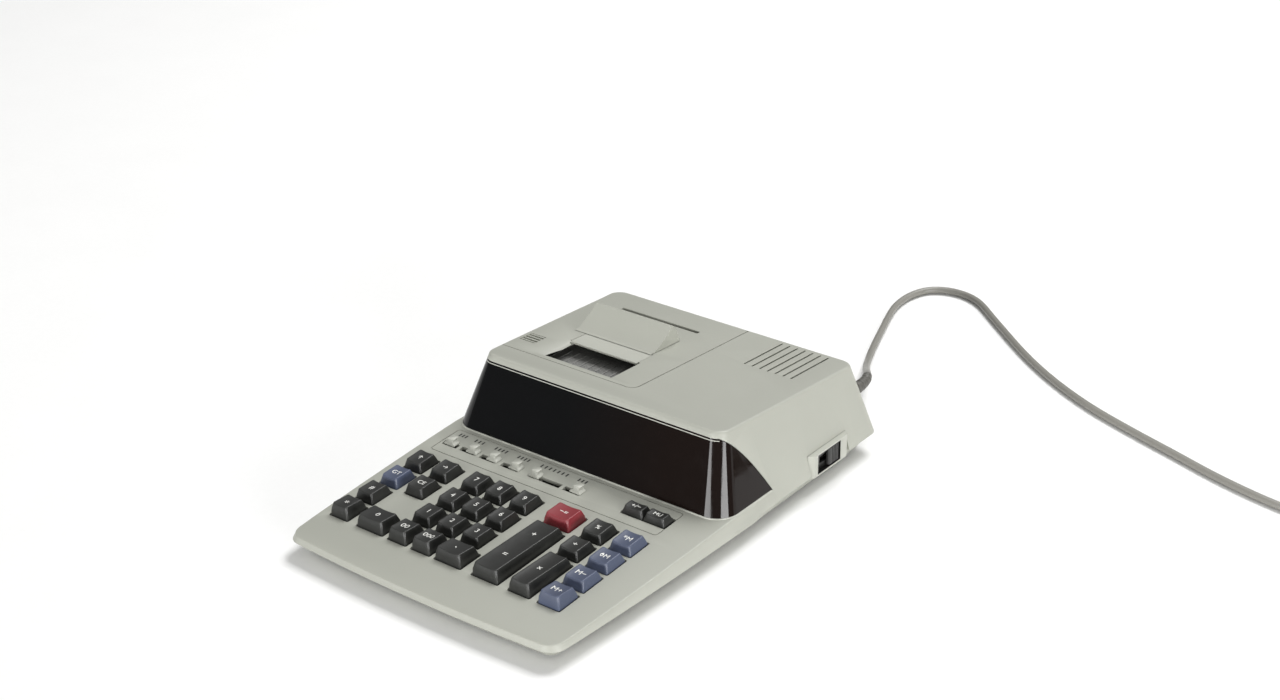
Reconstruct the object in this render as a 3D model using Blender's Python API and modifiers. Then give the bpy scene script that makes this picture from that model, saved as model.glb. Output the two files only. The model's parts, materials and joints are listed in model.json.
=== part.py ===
"""Desktop printing calculator, built as an assembly of separate pieces.

Measures are in millimetres and are placed with place(x, f, z): x runs to the right from the middle,
f runs back from the front edge of the case, and z runs up from the table. The origin of the finished
part is on the table, under the middle of the case. The mains lead's route is given in metres instead.
"""

import math

import bmesh
import bpy
from mathutils import Matrix, Vector

MM = 0.001
GAP = 0.3

# Case, both shells
CASE_DEPTH = 327.0
WALL = 2.3
SEAM_Z = 11.0
REAR_SEAM_Z = 13.9
STEP_F = 212.0
FRONT_CORNER = 11.0
REAR_CORNER = 8.0
FLOOR_Z = 2.5
FLOOR = 1.8

# Keyboard deck: a plane that rises to the rear as far as the housing
DECK_FRONT_Z = 14.4
DECK_SLOPE = 0.05
DECK_TOP_Z = 22.4

# Behind this place the slab's sides and rear draw in, so that they end inside the housing
TUCK_F = 185.0
SLAB_TUCK = 2.0

# Housing behind the deck
HOUSING_HALF = 110.6
HOUSING_BOTTOM_Z = 13.5
HOUSING_LEAN = 0.29
HOUSING_FRONT_F = 156.8
HOUSING_FRONT_LEAN = 0.371
HOUSING_REAR_F = 327.0
HOUSING_REAR_LEAN = 0.21
HOUSING_CORNER = 15.0
HOUSING_CORNER_TAPER = 0.126
HOUSING_REAR_CORNER = 9.0
TOP_FRONT_Z = 70.0
TOP_FRONT_F = 189.0
TOP_SLOPE = -0.066
TOP_ROUND = 1.6

# Display window, seen from the side
WINDOW_BOTTOM_Z = 22.7
WINDOW_TOP_Z = 66.6
WINDOW_CURVE = ((175.0, 66.6), (190.8, 55.0), (208.0, 22.7))
WINDOW_THICK = 2.2

# Printer cover and what it carries
COVER_X = 14.0
COVER_F = 192.0
COVER_CORNER = 6.0
COVER_BOTTOM_Z = 50.0
OPENING_X = (-62.0, -8.0)
OPENING_F = (197.0, 227.0)
CUTTER_X = (-63.6, -9.4)
CUTTER_F = (224.6, 242.0)
GUIDE_X = (-73.0, -10.0)
GUIDE_PROFILE = ((241.0, 0.0), (246.0, 1.4), (252.0, 4.2), (258.0, 8.2), (263.8, 12.8), (265.6, 13.3),
                 (267.4, 11.6), (272.5, 0.0))
GUIDE_WALL = 1.8
SLOT_X = (-73.6, -9.2)
SLOT_F = (290.0, 293.2)
RIB_F = (213.5, 217.0, 220.5)

# Vents
VENT_COUNT = 7
VENT_X = 43.4
VENT_PITCH = 5.9
VENT_WIDTH = 1.3
VENT_F = (269.5, 313.0)

# Keys
ROW_F = 34.2
ROW_PITCH = 21.6
KEY_DEPTH = 17.2
KEY_SKIRT = 0.9
KEY_GAP = 0.6
KEY_TRAVEL = 3.0
KEY_STEM = 4.6
STEM_BOTTOM = -6.6
PLATE_TOP = -4.6
PLATE_THICK = 1.6
BOARD_TOP = -9.9
BOARD_THICK = 1.2
KEYBOARD_X = (-94.6, 86.0)
KEYBOARD_F = (28.0, 148.0)

# name, middle x, width, front row, rows covered, colour, height of the cap's front edge and rear edge
KEYS = (
    ("key_total", -90.3, 14.3, 1, 1, "charcoal", 8.4, 6.8),
    ("key_0", -64.7, 21.0, 1, 1, "charcoal", 8.4, 6.8),
    ("key_00", -42.3, 14.3, 1, 1, "charcoal", 8.4, 6.8),
    ("key_000", -23.3, 14.3, 1, 1, "charcoal", 8.4, 6.8),
    ("key_point", -1.8, 20.0, 1, 1, "charcoal", 8.4, 6.8),
    ("key_plus_equals", 27.0, 19.5, 1, 3, "charcoal", 8.4, 6.6),
    ("key_multiply", 52.9, 15.5, 1, 2, "charcoal", 8.4, 6.6),
    ("key_memory_plus", 75.0, 15.8, 1, 1, "blue", 8.4, 6.8),
    ("key_number_print", -90.3, 14.3, 2, 1, "charcoal", 6.6, 6.2),
    ("key_1", -43.2, 14.3, 2, 1, "charcoal", 6.6, 6.2),
    ("key_2", -24.2, 14.3, 2, 1, "charcoal", 6.6, 6.2),
    ("key_3", -4.3, 14.3, 2, 1, "charcoal", 6.6, 6.2),
    ("key_memory_minus", 75.0, 15.8, 2, 1, "blue", 6.6, 6.2),
    ("key_grand_total", -90.3, 14.3, 3, 1, "blue", 6.2, 6.2),
    ("key_clear", -69.1, 14.3, 3, 1, "charcoal", 6.2, 6.2),
    ("key_4", -43.2, 14.3, 3, 1, "charcoal", 6.2, 6.2),
    ("key_5", -24.2, 14.3, 3, 1, "charcoal", 6.2, 6.2),
    ("key_6", -4.3, 14.3, 3, 1, "charcoal", 6.2, 6.2),
    ("key_divide", 52.9, 15.5, 3, 1, "charcoal", 6.2, 6.2),
    ("key_memory_subtotal", 75.0, 15.8, 3, 1, "blue", 6.2, 6.2),
    ("key_paper_feed", -90.3, 14.3, 4, 1, "charcoal", 6.0, 6.4),
    ("key_backspace", -69.1, 14.3, 4, 1, "charcoal", 6.0, 6.4),
    ("key_7", -43.2, 14.3, 4, 1, "charcoal", 6.0, 6.4),
    ("key_8", -24.2, 14.3, 4, 1, "charcoal", 6.0, 6.4),
    ("key_9", -4.3, 14.3, 4, 1, "charcoal", 6.0, 6.4),
    ("key_minus_equals", 26.6, 19.5, 4, 1, "red", 7.4, 7.4),
    ("key_percent", 52.9, 15.5, 4, 1, "charcoal", 6.0, 6.4),
    ("key_memory_total", 75.0, 15.8, 4, 1, "blue", 6.0, 6.4),
)

# The two keys that share an opening behind the keyboard: name, middle x, width
STRIP_KEYS = (("key_change_sign", 56.5, 15.6), ("key_markup", 72.8, 15.6))
STRIP_KEY_F = (134.4, 145.0)
STRIP_KEY_HEIGHT = 5.0

# Slide switches: name, x of the knob at rest, travel to the left, travel to the right
SLIDE_SWITCHES = (
    ("slide_knob_printer", -91.5, 3.0, 3.0),
    ("slide_knob_item_count", -73.0, 7.0, 0.0),
    ("slide_knob_constant", -55.8, 7.5, 0.0),
    ("slide_knob_rounding", -37.5, 8.0, 0.0),
    ("slide_knob_decimal", -21.5, 0.0, 18.0),
    ("slide_knob_rate", 12.0, 7.0, 0.0),
)
SLIDE_F = 136.4
SLIDE_STEM = (5.0, 2.6)
SLIDE_SLOT_WIDTH = 3.4
SLIDE_SHOE = (8.0, 6.5)

# Power switch, on the right side
BEZEL_F = (248.0, 291.0)
BEZEL_Z = (11.3, 27.0)
BEZEL_X = (104.8, 110.6)
POCKET_F = (255.5, 280.5)
POCKET_Z = (12.7, 25.7)
POCKET_X = 107.4
POWER_KNOB_F = (267.8, 279.2)
POWER_TRAVEL = 10.0
POWER_STEM_F = (271.5, 275.5)
POWER_STEM_Z = (17.0, 21.0)

# Printer
FRAME_X = (-82.0, 8.0)
FRAME_F = (197.5, 284.0)
FRAME_Z = (12.0, 58.5)
FRAME_SHEET = 2.0
ROLLER_Z = 45.0
DRUM_F = 214.0
FEED_F = 242.0
SHAFT_RADIUS = 2.5
GEAR_TEETH = 14
GEAR_MODULE = 2.0
GEAR_X = (-88.0, -84.2)

# Feet
FOOT_RADIUS = 7.0
FOOT_HEIGHT = 3.2
FOOT_PLACES = (("foot_front_left", -80.0, 32.0), ("foot_front_right", 80.0, 32.0),
               ("foot_rear_left", -88.0, 303.0), ("foot_rear_right", 88.0, 303.0))
BOSS_PLACES = ((-96.0, 19.0, 10.0), (96.0, 19.0, 10.0), (-98.0, 308.0, 30.0), (98.0, 308.0, 30.0))

# Mains lead, in metres: its route lies on the table after the first bend
LEAD_RADIUS = 0.0025
LEAD_POINT_SPACING = 0.016
LEAD_ROUTE = (
    (0.0830, 0.1919, 0.0332), (0.0770, 0.2010, 0.0296), (0.0685, 0.2140, 0.0232), (0.0585, 0.2300, 0.0154),
    (0.0480, 0.2475, 0.0080), (0.0380, 0.2670, 0.0035), (0.0295, 0.2875, 0.0026), (0.0215, 0.3095, 0.0026),
    (0.0130, 0.3330, 0.0026), (0.0072, 0.3535, 0.0026), (0.0066, 0.3735, 0.0026), (0.0124, 0.3900, 0.0026),
    (0.0252, 0.3995, 0.0026), (0.0412, 0.3998, 0.0026), (0.0560, 0.3922, 0.0026), (0.0750, 0.3765, 0.0026),
    (0.0965, 0.3585, 0.0026), (0.1185, 0.3405, 0.0026), (0.1415, 0.3235, 0.0026), (0.1685, 0.3065, 0.0026),
    (0.2000, 0.2905, 0.0026), (0.2350, 0.2770, 0.0026), (0.2700, 0.2650, 0.0026), (0.3050, 0.2530, 0.0026),
    (0.3380, 0.2445, 0.0026), (0.3660, 0.2403, 0.0026),
)
COIL_CENTRE = (0.391, 0.2757)
COIL_INNER, COIL_OUTER = 0.0175, 0.0380
COIL_BOTTOM, COIL_TOP = 0.0001, 0.0103
COIL_END_RADIUS = 0.0354
COIL_END_Z = 0.0077
PLUG_X, PLUG_Y, PLUG_Z = 0.4264, 0.325, 0.0069

# Strain relief, in metres: points along its middle, each with its radius
RELIEF_POINTS = (
    (0.0910, 0.1495, 0.0370, 0.0061), (0.0910, 0.1536, 0.0370, 0.0061), (0.0910, 0.1537, 0.0370, 0.0041),
    (0.0910, 0.1599, 0.0370, 0.0041), (0.0910, 0.1600, 0.0370, 0.0051), (0.0910, 0.1630, 0.0370, 0.0051),
    (0.0910, 0.1635, 0.0370, 0.0041), (0.0910, 0.1653, 0.0370, 0.0041), (0.0909, 0.1657, 0.0370, 0.0048),
    (0.0907, 0.1683, 0.0370, 0.0046), (0.0906, 0.1687, 0.0370, 0.0039), (0.0903, 0.1706, 0.0369, 0.0039),
    (0.0902, 0.1710, 0.0369, 0.0045), (0.0896, 0.1738, 0.0367, 0.0043), (0.0895, 0.1742, 0.0367, 0.0037),
    (0.0889, 0.1761, 0.0365, 0.0037), (0.0888, 0.1765, 0.0365, 0.0041), (0.0877, 0.1793, 0.0361, 0.0039),
    (0.0875, 0.1797, 0.0360, 0.0035), (0.0862, 0.1846, 0.0352, 0.0034),
    (0.0840, 0.1902, 0.0339, 0.0032),
)

COLOURS = {
    "case": ((0.545, 0.540, 0.490), 0.55, 0.0),
    "window": ((0.006, 0.006, 0.007), 0.08, 0.0),
    "charcoal": ((0.030, 0.031, 0.030), 0.42, 0.0),
    "blue": ((0.105, 0.125, 0.230), 0.42, 0.0),
    "red": ((0.330, 0.045, 0.060), 0.42, 0.0),
    "knob": ((0.600, 0.595, 0.550), 0.50, 0.0),
    "black": ((0.012, 0.012, 0.012), 0.40, 0.0),
    "printer": ((0.050, 0.050, 0.048), 0.45, 0.0),
    "steel": ((0.550, 0.550, 0.540), 0.35, 1.0),
    "rubber": ((0.020, 0.020, 0.020), 0.80, 0.0),
    "board": ((0.020, 0.110, 0.050), 0.50, 0.0),
    "glass": ((0.300, 0.400, 0.380), 0.10, 0.0),
    "lead": ((0.250, 0.245, 0.235), 0.50, 0.0),
    "relief": ((0.075, 0.073, 0.068), 0.55, 0.0),
}


def clear_scene():
    for obj in list(bpy.data.objects):
        bpy.data.objects.remove(obj, do_unlink=True)


def new_collection(name, hidden):
    collection = bpy.data.collections.new(name)
    bpy.context.scene.collection.children.link(collection)
    collection.hide_render = hidden
    return collection


def make_material(name):
    colour, roughness, metallic = COLOURS[name]
    material = bpy.data.materials.new(name)
    material.use_nodes = True
    shader = material.node_tree.nodes["Principled BSDF"]
    shader.inputs["Base Color"].default_value = (*colour, 1.0)
    shader.inputs["Roughness"].default_value = roughness
    shader.inputs["Metallic"].default_value = metallic
    return material


clear_scene()
PARTS = new_collection("desktop_printing_calculator", hidden=False)
CUTTERS = new_collection("cutters", hidden=True)
MATERIALS = {name: make_material(name) for name in COLOURS}


# Placing and building


def place(x, f, z):
    return Vector((x, f - CASE_DEPTH / 2, z)) * MM


def add_mesh(name, mesh, colour):
    """The mesh as a part, or as a cutter where colour is None."""
    obj = bpy.data.objects.new(name, mesh)
    if colour is None:
        CUTTERS.objects.link(obj)
        obj.hide_render = True
        obj.display_type = "WIRE"
        return obj
    PARTS.objects.link(obj)
    mesh.materials.append(MATERIALS[colour])
    mesh.shade_smooth()
    mesh.set_sharp_from_angle(angle=math.radians(35))
    return obj


def finish_mesh(name, bm, colour):
    bmesh.ops.recalc_face_normals(bm, faces=bm.faces)
    mesh = bpy.data.meshes.new(name)
    bm.to_mesh(mesh)
    bm.free()
    return add_mesh(name, mesh, colour)


def add_box_to(bm, x, f, z):
    """A box between the two ends given for each direction."""
    size = Vector((x[1] - x[0], f[1] - f[0], z[1] - z[0])) * MM
    middle = place((x[0] + x[1]) / 2, (f[0] + f[1]) / 2, (z[0] + z[1]) / 2)
    bmesh.ops.create_cube(bm, size=1.0, matrix=Matrix.Translation(middle) @ Matrix.Diagonal((*size, 1.0)))


def boxes(name, colour, spans):
    bm = bmesh.new()
    for x, f, z in spans:
        add_box_to(bm, x, f, z)
    return finish_mesh(name, bm, colour)


def shear_to_deck(obj):
    """Tilts a mesh that was built level, with z counted from the deck, so that it follows the deck."""
    for vertex in obj.data.vertices:
        f = vertex.co.y / MM + CASE_DEPTH / 2
        vertex.co.z += (DECK_FRONT_Z + DECK_SLOPE * f) * MM


def rounded(obj, width, segments=2):
    modifier = obj.modifiers.new("rounding", "BEVEL")
    modifier.width = width * MM
    modifier.segments = segments
    modifier.limit_method = "ANGLE"
    modifier.angle_limit = math.radians(40)
    return obj


def boolean(obj, other, operation):
    modifier = obj.modifiers.new(f"{operation.lower()}_{other.name}", "BOOLEAN")
    modifier.object = other
    modifier.operation = operation
    modifier.solver = "EXACT"


def cut(obj, *others):
    for other in others:
        boolean(obj, other, "DIFFERENCE")


def join(obj, *others):
    for other in others:
        boolean(obj, other, "UNION")


def prism(name, colour, outline, to_place, low, high):
    """A closed outline of 2D points, carried from low to high along the third direction."""
    bm = bmesh.new()
    ends = [[bm.verts.new(to_place(a, b, level)) for a, b in outline] for level in (low, high)]
    for i in range(len(outline)):
        j = (i + 1) % len(outline)
        bm.faces.new((ends[0][i], ends[0][j], ends[1][j], ends[1][i]))
    bm.faces.new(ends[0])
    bm.faces.new(ends[1])
    return finish_mesh(name, bm, colour)


def plan_prism(name, colour, outline, low, high):
    return prism(name, colour, outline, lambda x, f, z: place(x, f, z), low, high)


def side_prism(name, colour, outline, low, high):
    return prism(name, colour, outline, lambda f, z, x: place(x, f, z), low, high)


def cylinder(name, colour, middle, radius, length, axis, segments=24):
    """A cylinder whose middle is given as a place, along axis X, Y or Z."""
    turns = {"X": Matrix.Rotation(math.pi / 2, 4, "Y"), "Y": Matrix.Rotation(math.pi / 2, 4, "X"), "Z": Matrix()}
    bm = bmesh.new()
    bmesh.ops.create_cone(bm, cap_ends=True, segments=segments, radius1=radius * MM, radius2=radius * MM,
                          depth=length * MM, matrix=Matrix.Translation(middle) @ turns[axis])
    return finish_mesh(name, bm, colour)


def turned(name, colour, profile, steps):
    """A turned piece about Z, from (radius, height) pairs in metres that run down the outer side."""
    mesh = bpy.data.meshes.new(name)
    mesh.from_pydata([(radius, 0.0, height) for radius, height in profile],
                     [(i, i + 1) for i in range(len(profile) - 1)], [])
    obj = add_mesh(name, mesh, colour)
    screw = obj.modifiers.new("turning", "SCREW")
    screw.steps = steps
    screw.render_steps = steps
    screw.use_merge_vertices = True
    screw.merge_threshold = 1e-5
    screw.use_smooth_shade = True
    return obj


# Case shapes


def deck_z(f):
    return min(DECK_FRONT_Z + DECK_SLOPE * f, DECK_TOP_Z)


def top_z(f):
    return TOP_FRONT_Z + TOP_SLOPE * (f - TOP_FRONT_F)


def case_half(f):
    """Half the width of the case at the seam: its sides bow out gently."""
    return 104.45 + 0.0634 * f - 0.000153 * f * f


def case_front(x):
    """How far back the front edge lies: it bows out in the middle."""
    return 0.000342 * x * x


def corner_arc(centre_x, centre_f, radius, first, last, count):
    angles = [math.radians(first + (last - first) * i / (count - 1)) for i in range(count)]
    return [(centre_x + radius * math.cos(a), centre_f + radius * math.sin(a)) for a in angles]


def tray_half_outline(inset, tuck=0.0):
    """The right half of the case's plan outline, front to rear; its rear part is drawn in by tuck."""
    radius = FRONT_CORNER - inset * 0.6
    centre_x = case_half(FRONT_CORNER) - inset - radius
    centre_f = case_front(centre_x) + inset + radius
    points = [(centre_x * i / 5, case_front(centre_x * i / 5) + inset) for i in range(1, 5)]
    points += corner_arc(centre_x, centre_f, radius, -88, -3, 7)
    rear_radius = max(REAR_CORNER - inset * 0.6, 2.0)
    rear_x = case_half(CASE_DEPTH - REAR_CORNER) - inset - tuck - rear_radius
    stations = (30, 60, 100, 150, 185, 200, STEP_F - 0.1, STEP_F + 0.1, 250, 290)
    for f in stations:
        share = min(max((f - TUCK_F) / (STEP_F - TUCK_F), 0.0), 1.0)
        points.append((case_half(f) - inset - tuck * share, f))
    points += corner_arc(rear_x, CASE_DEPTH - inset - tuck - rear_radius, rear_radius, 0, 90, 5)
    return points


def housing_level(z):
    """The housing's half width, front and rear at one height."""
    return (HOUSING_HALF - HOUSING_LEAN * (z - REAR_SEAM_Z),
            HOUSING_FRONT_F + HOUSING_FRONT_LEAN * (z - DECK_TOP_Z),
            HOUSING_REAR_F - HOUSING_REAR_LEAN * (z - REAR_SEAM_Z))


def housing_half_outline(z_at, inset, round_by):
    """The right half of the housing's outline as (x, f, z), where z_at(f) is the height of the outline."""
    corner_z = z_at(175.0)
    radius = HOUSING_CORNER - HOUSING_CORNER_TAPER * (corner_z - DECK_TOP_Z) - round_by
    half, front, _ = housing_level(corner_z)
    centre_x = half - inset - radius
    centre_f = front + inset + radius
    points = corner_arc(centre_x, centre_f, radius, -90, 0, 9)
    for f in (200.0, 225.0, 250.0, 275.0, 300.0):
        points.append((housing_level(z_at(f))[0] - inset, f))
    half, _, rear = housing_level(z_at(316.0))
    radius = HOUSING_REAR_CORNER - round_by
    rear_x = half - inset - radius
    points += corner_arc(rear_x, rear - inset - radius, radius, 0, 90, 6)
    return [(x, f, z_at(f)) for x, f in points]


def loft_of_halves(name, colour, halves):
    """A closed body through symmetrical outlines, given as their right halves and ordered upwards."""
    bm = bmesh.new()
    rings = []
    for half in halves:
        left = [(-x, f, z) for x, f, z in reversed(half)]
        rings.append([bm.verts.new(place(*point)) for point in [*half, *left]])
    count = len(rings[0])
    for lower, upper in zip(rings, rings[1:]):
        for i in range(count):
            j = (i + 1) % count
            bm.faces.new((lower[i], lower[j], upper[j], upper[i]))
    for ring in (rings[0], rings[-1]):
        close_with_strips(bm, ring)
    return finish_mesh(name, bm, colour)


def close_with_strips(bm, ring):
    """Closes a symmetrical outline with faces from side to side, so that it may rise or step along f."""
    last = len(ring) - 1
    for i in range(len(ring) // 2 - 1):
        bm.faces.new((ring[i], ring[i + 1], ring[last - i - 1], ring[last - i]))


def slab(name, colour, inset, lower_by, bottom_z):
    """The low front part of the case: the wall from the seam up to the keyboard deck."""
    edge = ((1.0, 1.4), (0.5, 1.52), (0.13, 1.85), (0.0, 2.3))
    halves = [[(x, f, bottom_z) for x, f in tray_half_outline(inset, SLAB_TUCK)]]
    for drop, more in edge:
        outline = tray_half_outline(inset + more, SLAB_TUCK)
        halves.append([(x, f, deck_z(f) - lower_by - drop) for x, f in outline])
    return loft_of_halves(name, colour, halves)


def housing(name, colour, inset, bottom_z):
    """The raised part of the case, from bottom_z to its sloping top, smaller by inset all round."""
    halves = [housing_half_outline(lambda f: bottom_z, inset, inset * 0.6)]
    for degrees in (0, 30, 60, 90):
        angle = math.radians(degrees)
        drop = TOP_ROUND * (1 - math.sin(angle)) + inset
        more = TOP_ROUND * (1 - math.cos(angle))
        halves.append(housing_half_outline(lambda f, drop=drop: top_z(f) - drop, inset + more, inset * 0.6 + more))
    return loft_of_halves(name, colour, halves)


def window_outline(grow):
    """The window's outline from the side, with a margin of grow; it runs out in front of the case."""
    (f0, z0), (f1, z1), (f2, z2) = WINDOW_CURVE
    outline = [(140.0, WINDOW_BOTTOM_Z - grow), (f2 + grow, WINDOW_BOTTOM_Z - grow)]
    for i in range(10):
        t = 1 - i / 9
        f = (1 - t) ** 2 * f0 + 2 * t * (1 - t) * f1 + t * t * f2
        z = (1 - t) ** 2 * z0 + 2 * t * (1 - t) * z1 + t * t * z2
        outline.append((f + grow, z + grow * 0.6 * (1 - t) + grow * 0.4))
    outline.append((140.0, WINDOW_TOP_Z + grow))
    return outline


def cover_outline(grow):
    """The printer cover's plan outline, which runs out past the left side and the rear of the case."""
    right, front, radius = COVER_X + grow, COVER_F - grow, COVER_CORNER + grow
    outline = [(-130.0, front)]
    outline += corner_arc(right - radius, front + radius, radius, -90, 0, 6)
    outline += [(right, 345.0), (-130.0, 345.0)]
    return outline


# Case pieces


def key_holes():
    """One cutter for every key opening, and one for the opening that two keys share."""
    spans = []
    for _, x, width, row, rows, *_ in KEYS:
        front = ROW_F + (row - 1) * ROW_PITCH
        rear = front + KEY_DEPTH + (rows - 1) * ROW_PITCH
        half = width / 2 + KEY_GAP
        spans.append(((x - half, x + half), (front - KEY_GAP, rear + KEY_GAP), (5.0, 40.0)))
    left = STRIP_KEYS[0][1] - STRIP_KEYS[0][2] / 2 - KEY_GAP
    right = STRIP_KEYS[1][1] + STRIP_KEYS[1][2] / 2 + KEY_GAP
    spans.append(((left, right), (STRIP_KEY_F[0] - KEY_GAP, STRIP_KEY_F[1] + KEY_GAP), (5.0, 40.0)))
    return boxes("key_hole_cutter", None, spans)


def slide_slots():
    spans = []
    for _, x, to_left, to_right in SLIDE_SWITCHES:
        half = SLIDE_STEM[0] / 2 + 0.5
        f = (SLIDE_F - SLIDE_SLOT_WIDTH / 2, SLIDE_F + SLIDE_SLOT_WIDTH / 2)
        spans.append(((x - to_left - half, x + to_right + half), f, (5.0, 40.0)))
    return boxes("slide_slot_cutter", None, spans)


def vent_slots():
    spans = []
    for i in range(VENT_COUNT):
        x = VENT_X + i * VENT_PITCH
        spans.append(((x - VENT_WIDTH / 2, x + VENT_WIDTH / 2), VENT_F, (50.0, 80.0)))
    return boxes("vent_cutter", None, spans)


def bezel_cutter():
    return boxes("bezel_cutter", None, [((95.0, 120.0), (BEZEL_F[0] - GAP, BEZEL_F[1] + GAP),
                                         (BEZEL_Z[0] - GAP, BEZEL_Z[1] + GAP))])


def relief_hole():
    middle = Vector((RELIEF_POINTS[0][0], 0.158, RELIEF_POINTS[0][2]))
    return cylinder("relief_hole_cutter", None, middle, 4.5, 16.0, "Y", 20)


def make_upper_case(bezel):
    case = slab("upper_case", "case", 0.0, 0.0, SEAM_Z)
    join(case, housing("housing_body", None, 0.0, HOUSING_BOTTOM_Z))
    cut(case, slab("slab_hollow", None, WALL, WALL, 5.0), housing("housing_hollow", None, WALL, 4.0))
    step = boxes("rear_step_cutter", None, [((-130.0, 130.0), (STEP_F, 340.0), (0.0, REAR_SEAM_Z))])
    window = side_prism("window_cutter", None, window_outline(GAP), -130.0, 130.0)
    cover = plan_prism("cover_cutter", None, cover_outline(GAP), COVER_BOTTOM_Z - GAP, 90.0)
    cut(case, step, window, cover, key_holes(), slide_slots(), vent_slots(), bezel, relief_hole())


def lower_top(f):
    return (SEAM_Z if f < STEP_F else REAR_SEAM_Z) - GAP


def make_lower_case(bezel):
    outside = ((FLOOR_Z, 10.0), (FLOOR_Z + 0.8, 8.0))
    halves = [[(x, f, z) for x, f in tray_half_outline(inset)] for z, inset in outside]
    halves.append([(x, f, lower_top(f)) for x, f in tray_half_outline(2.5)])
    case = loft_of_halves("lower_case", "case", halves)
    inside = ((FLOOR_Z + FLOOR, 9.8), (SEAM_Z, 4.8), (30.0, 4.6))
    hollow = [[(x, f, z) for x, f in tray_half_outline(inset)] for z, inset in inside]
    cut(case, loft_of_halves("tray_hollow", None, hollow))
    for i, (x, f, top) in enumerate(BOSS_PLACES):
        middle = place(x, f, (FLOOR_Z + 0.5 + top) / 2)
        join(case, cylinder(f"boss_{i}", None, middle, 4.0, top - FLOOR_Z - 0.5, "Z", 16))
        cut(case, cylinder(f"screw_hole_{i}", None, place(x, f, 15.0), 1.5, 60.0, "Z", 10))
    for name, x, f in FOOT_PLACES:
        cut(case, cylinder(f"{name}_recess", None, place(x, f, 0.0), FOOT_RADIUS + GAP, 7.0, "Z", 24))
    cut(case, bezel)


def make_display_window():
    window = housing("display_window", "window", 0.0, SEAM_Z)
    cut(window, housing("window_inside", None, WINDOW_THICK, 5.0))
    boolean(window, side_prism("window_shape", None, window_outline(0.0), -130.0, 130.0), "INTERSECT")


def cover_opening():
    """The printer opening, with a wide slope down its left side."""
    z_low, z_high = 58.0, 72.0
    bm = bmesh.new()
    low = (OPENING_X[0], OPENING_X[1], OPENING_F[0], OPENING_F[1])
    high = (OPENING_X[0] - 15.0, OPENING_X[1] + 2.0, OPENING_F[0] - 1.0, OPENING_F[1])
    rings = []
    for z, (x0, x1, f0, f1) in ((z_low, low), (top_z(210) - 2.6, low), (z_high, high)):
        rings.append([bm.verts.new(place(x, f, z)) for x, f in ((x0, f0), (x1, f0), (x1, f1), (x0, f1))])
    for lower, upper in zip(rings, rings[1:]):
        for i in range(4):
            j = (i + 1) % 4
            bm.faces.new((lower[i], lower[j], upper[j], upper[i]))
    bm.faces.new(rings[0])
    bm.faces.new(rings[-1])
    return finish_mesh("cover_opening_cutter", bm, None)


def on_top_prism(name, colour, x, f, low, high):
    """A strip that follows the slope of the housing's top, between two heights counted from it."""
    outline = [(f[0], top_z(f[0]) + low), (f[1], top_z(f[1]) + low),
               (f[1], top_z(f[1]) + high), (f[0], top_z(f[0]) + high)]
    return side_prism(name, colour, outline, *x)


def make_printer_cover():
    cover = housing("printer_cover", "case", 0.0, SEAM_Z)
    cut(cover, housing("cover_inside", None, WALL, 5.0))
    shape = plan_prism("cover_shape", None, cover_outline(0.0), COVER_BOTTOM_Z, 90.0)
    boolean(cover, shape, "INTERSECT")
    seat_x = (CUTTER_X[0] - GAP, CUTTER_X[1] + GAP)
    seat_f = (CUTTER_F[0] - GAP, CUTTER_F[1] + GAP)
    cut(cover, cover_opening(), on_top_prism("cutter_seat", None, seat_x, seat_f, -1.6, 4.0))
    cut(cover, boxes("paper_slot_cutter", None, [(SLOT_X, SLOT_F, (50.0, 80.0))]))
    for i, f in enumerate(RIB_F):
        rib = on_top_prism(f"grip_rib_{i}", None, (-90.0, -77.0), (f, f + 1.4), -0.5, 0.5)
        join(cover, rib)


def make_paper_cutter():
    on_top_prism("paper_cutter", "knob", CUTTER_X, CUTTER_F, -1.3, -0.1)


def guide_outline(shrink):
    """The paper guide's side profile; shrunk, it is the hollow under it."""
    lift = GAP if shrink == 0 else -3.0
    outline = []
    for f, rise in GUIDE_PROFILE:
        towards_middle = shrink * (265.0 - f) / 24.0
        outline.append((f + towards_middle, top_z(f) + max(rise - shrink * 1.25, 0.0) + lift * (rise == 0)))
    return outline


def make_paper_guide():
    guide = side_prism("paper_guide", "case", guide_outline(0.0), *GUIDE_X)
    inner = (GUIDE_X[0] + GUIDE_WALL, GUIDE_X[1] - GUIDE_WALL)
    cut(guide, side_prism("guide_hollow", None, guide_outline(GUIDE_WALL * 1.6), *inner))


def make_feet():
    for name, x, f in FOOT_PLACES:
        foot = cylinder(name, "rubber", place(x, f, FOOT_HEIGHT / 2), FOOT_RADIUS, FOOT_HEIGHT, "Z", 24)
        rounded(foot, 0.6, 1)


# Keys and switches


def rectangle_ring(x0, x1, f0, f1, corner):
    """Eight points round a rectangle with its corners cut off."""
    return [(x0 + corner, f0), (x1 - corner, f0), (x1, f0 + corner), (x1, f1 - corner),
            (x1 - corner, f1), (x0 + corner, f1), (x0, f1 - corner), (x0, f0 + corner)]


def stacked(name, colour, rings):
    """A closed body through rings of (x, f, z) points that all have the same count, bottom first."""
    bm = bmesh.new()
    levels = [[bm.verts.new(place(*point)) for point in ring] for ring in rings]
    count = len(levels[0])
    for lower, upper in zip(levels, levels[1:]):
        for i in range(count):
            j = (i + 1) % count
            bm.faces.new((lower[i], lower[j], upper[j], upper[i]))
    bm.faces.new(levels[0])
    bm.faces.new(levels[-1])
    return finish_mesh(name, bm, colour)


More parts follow.
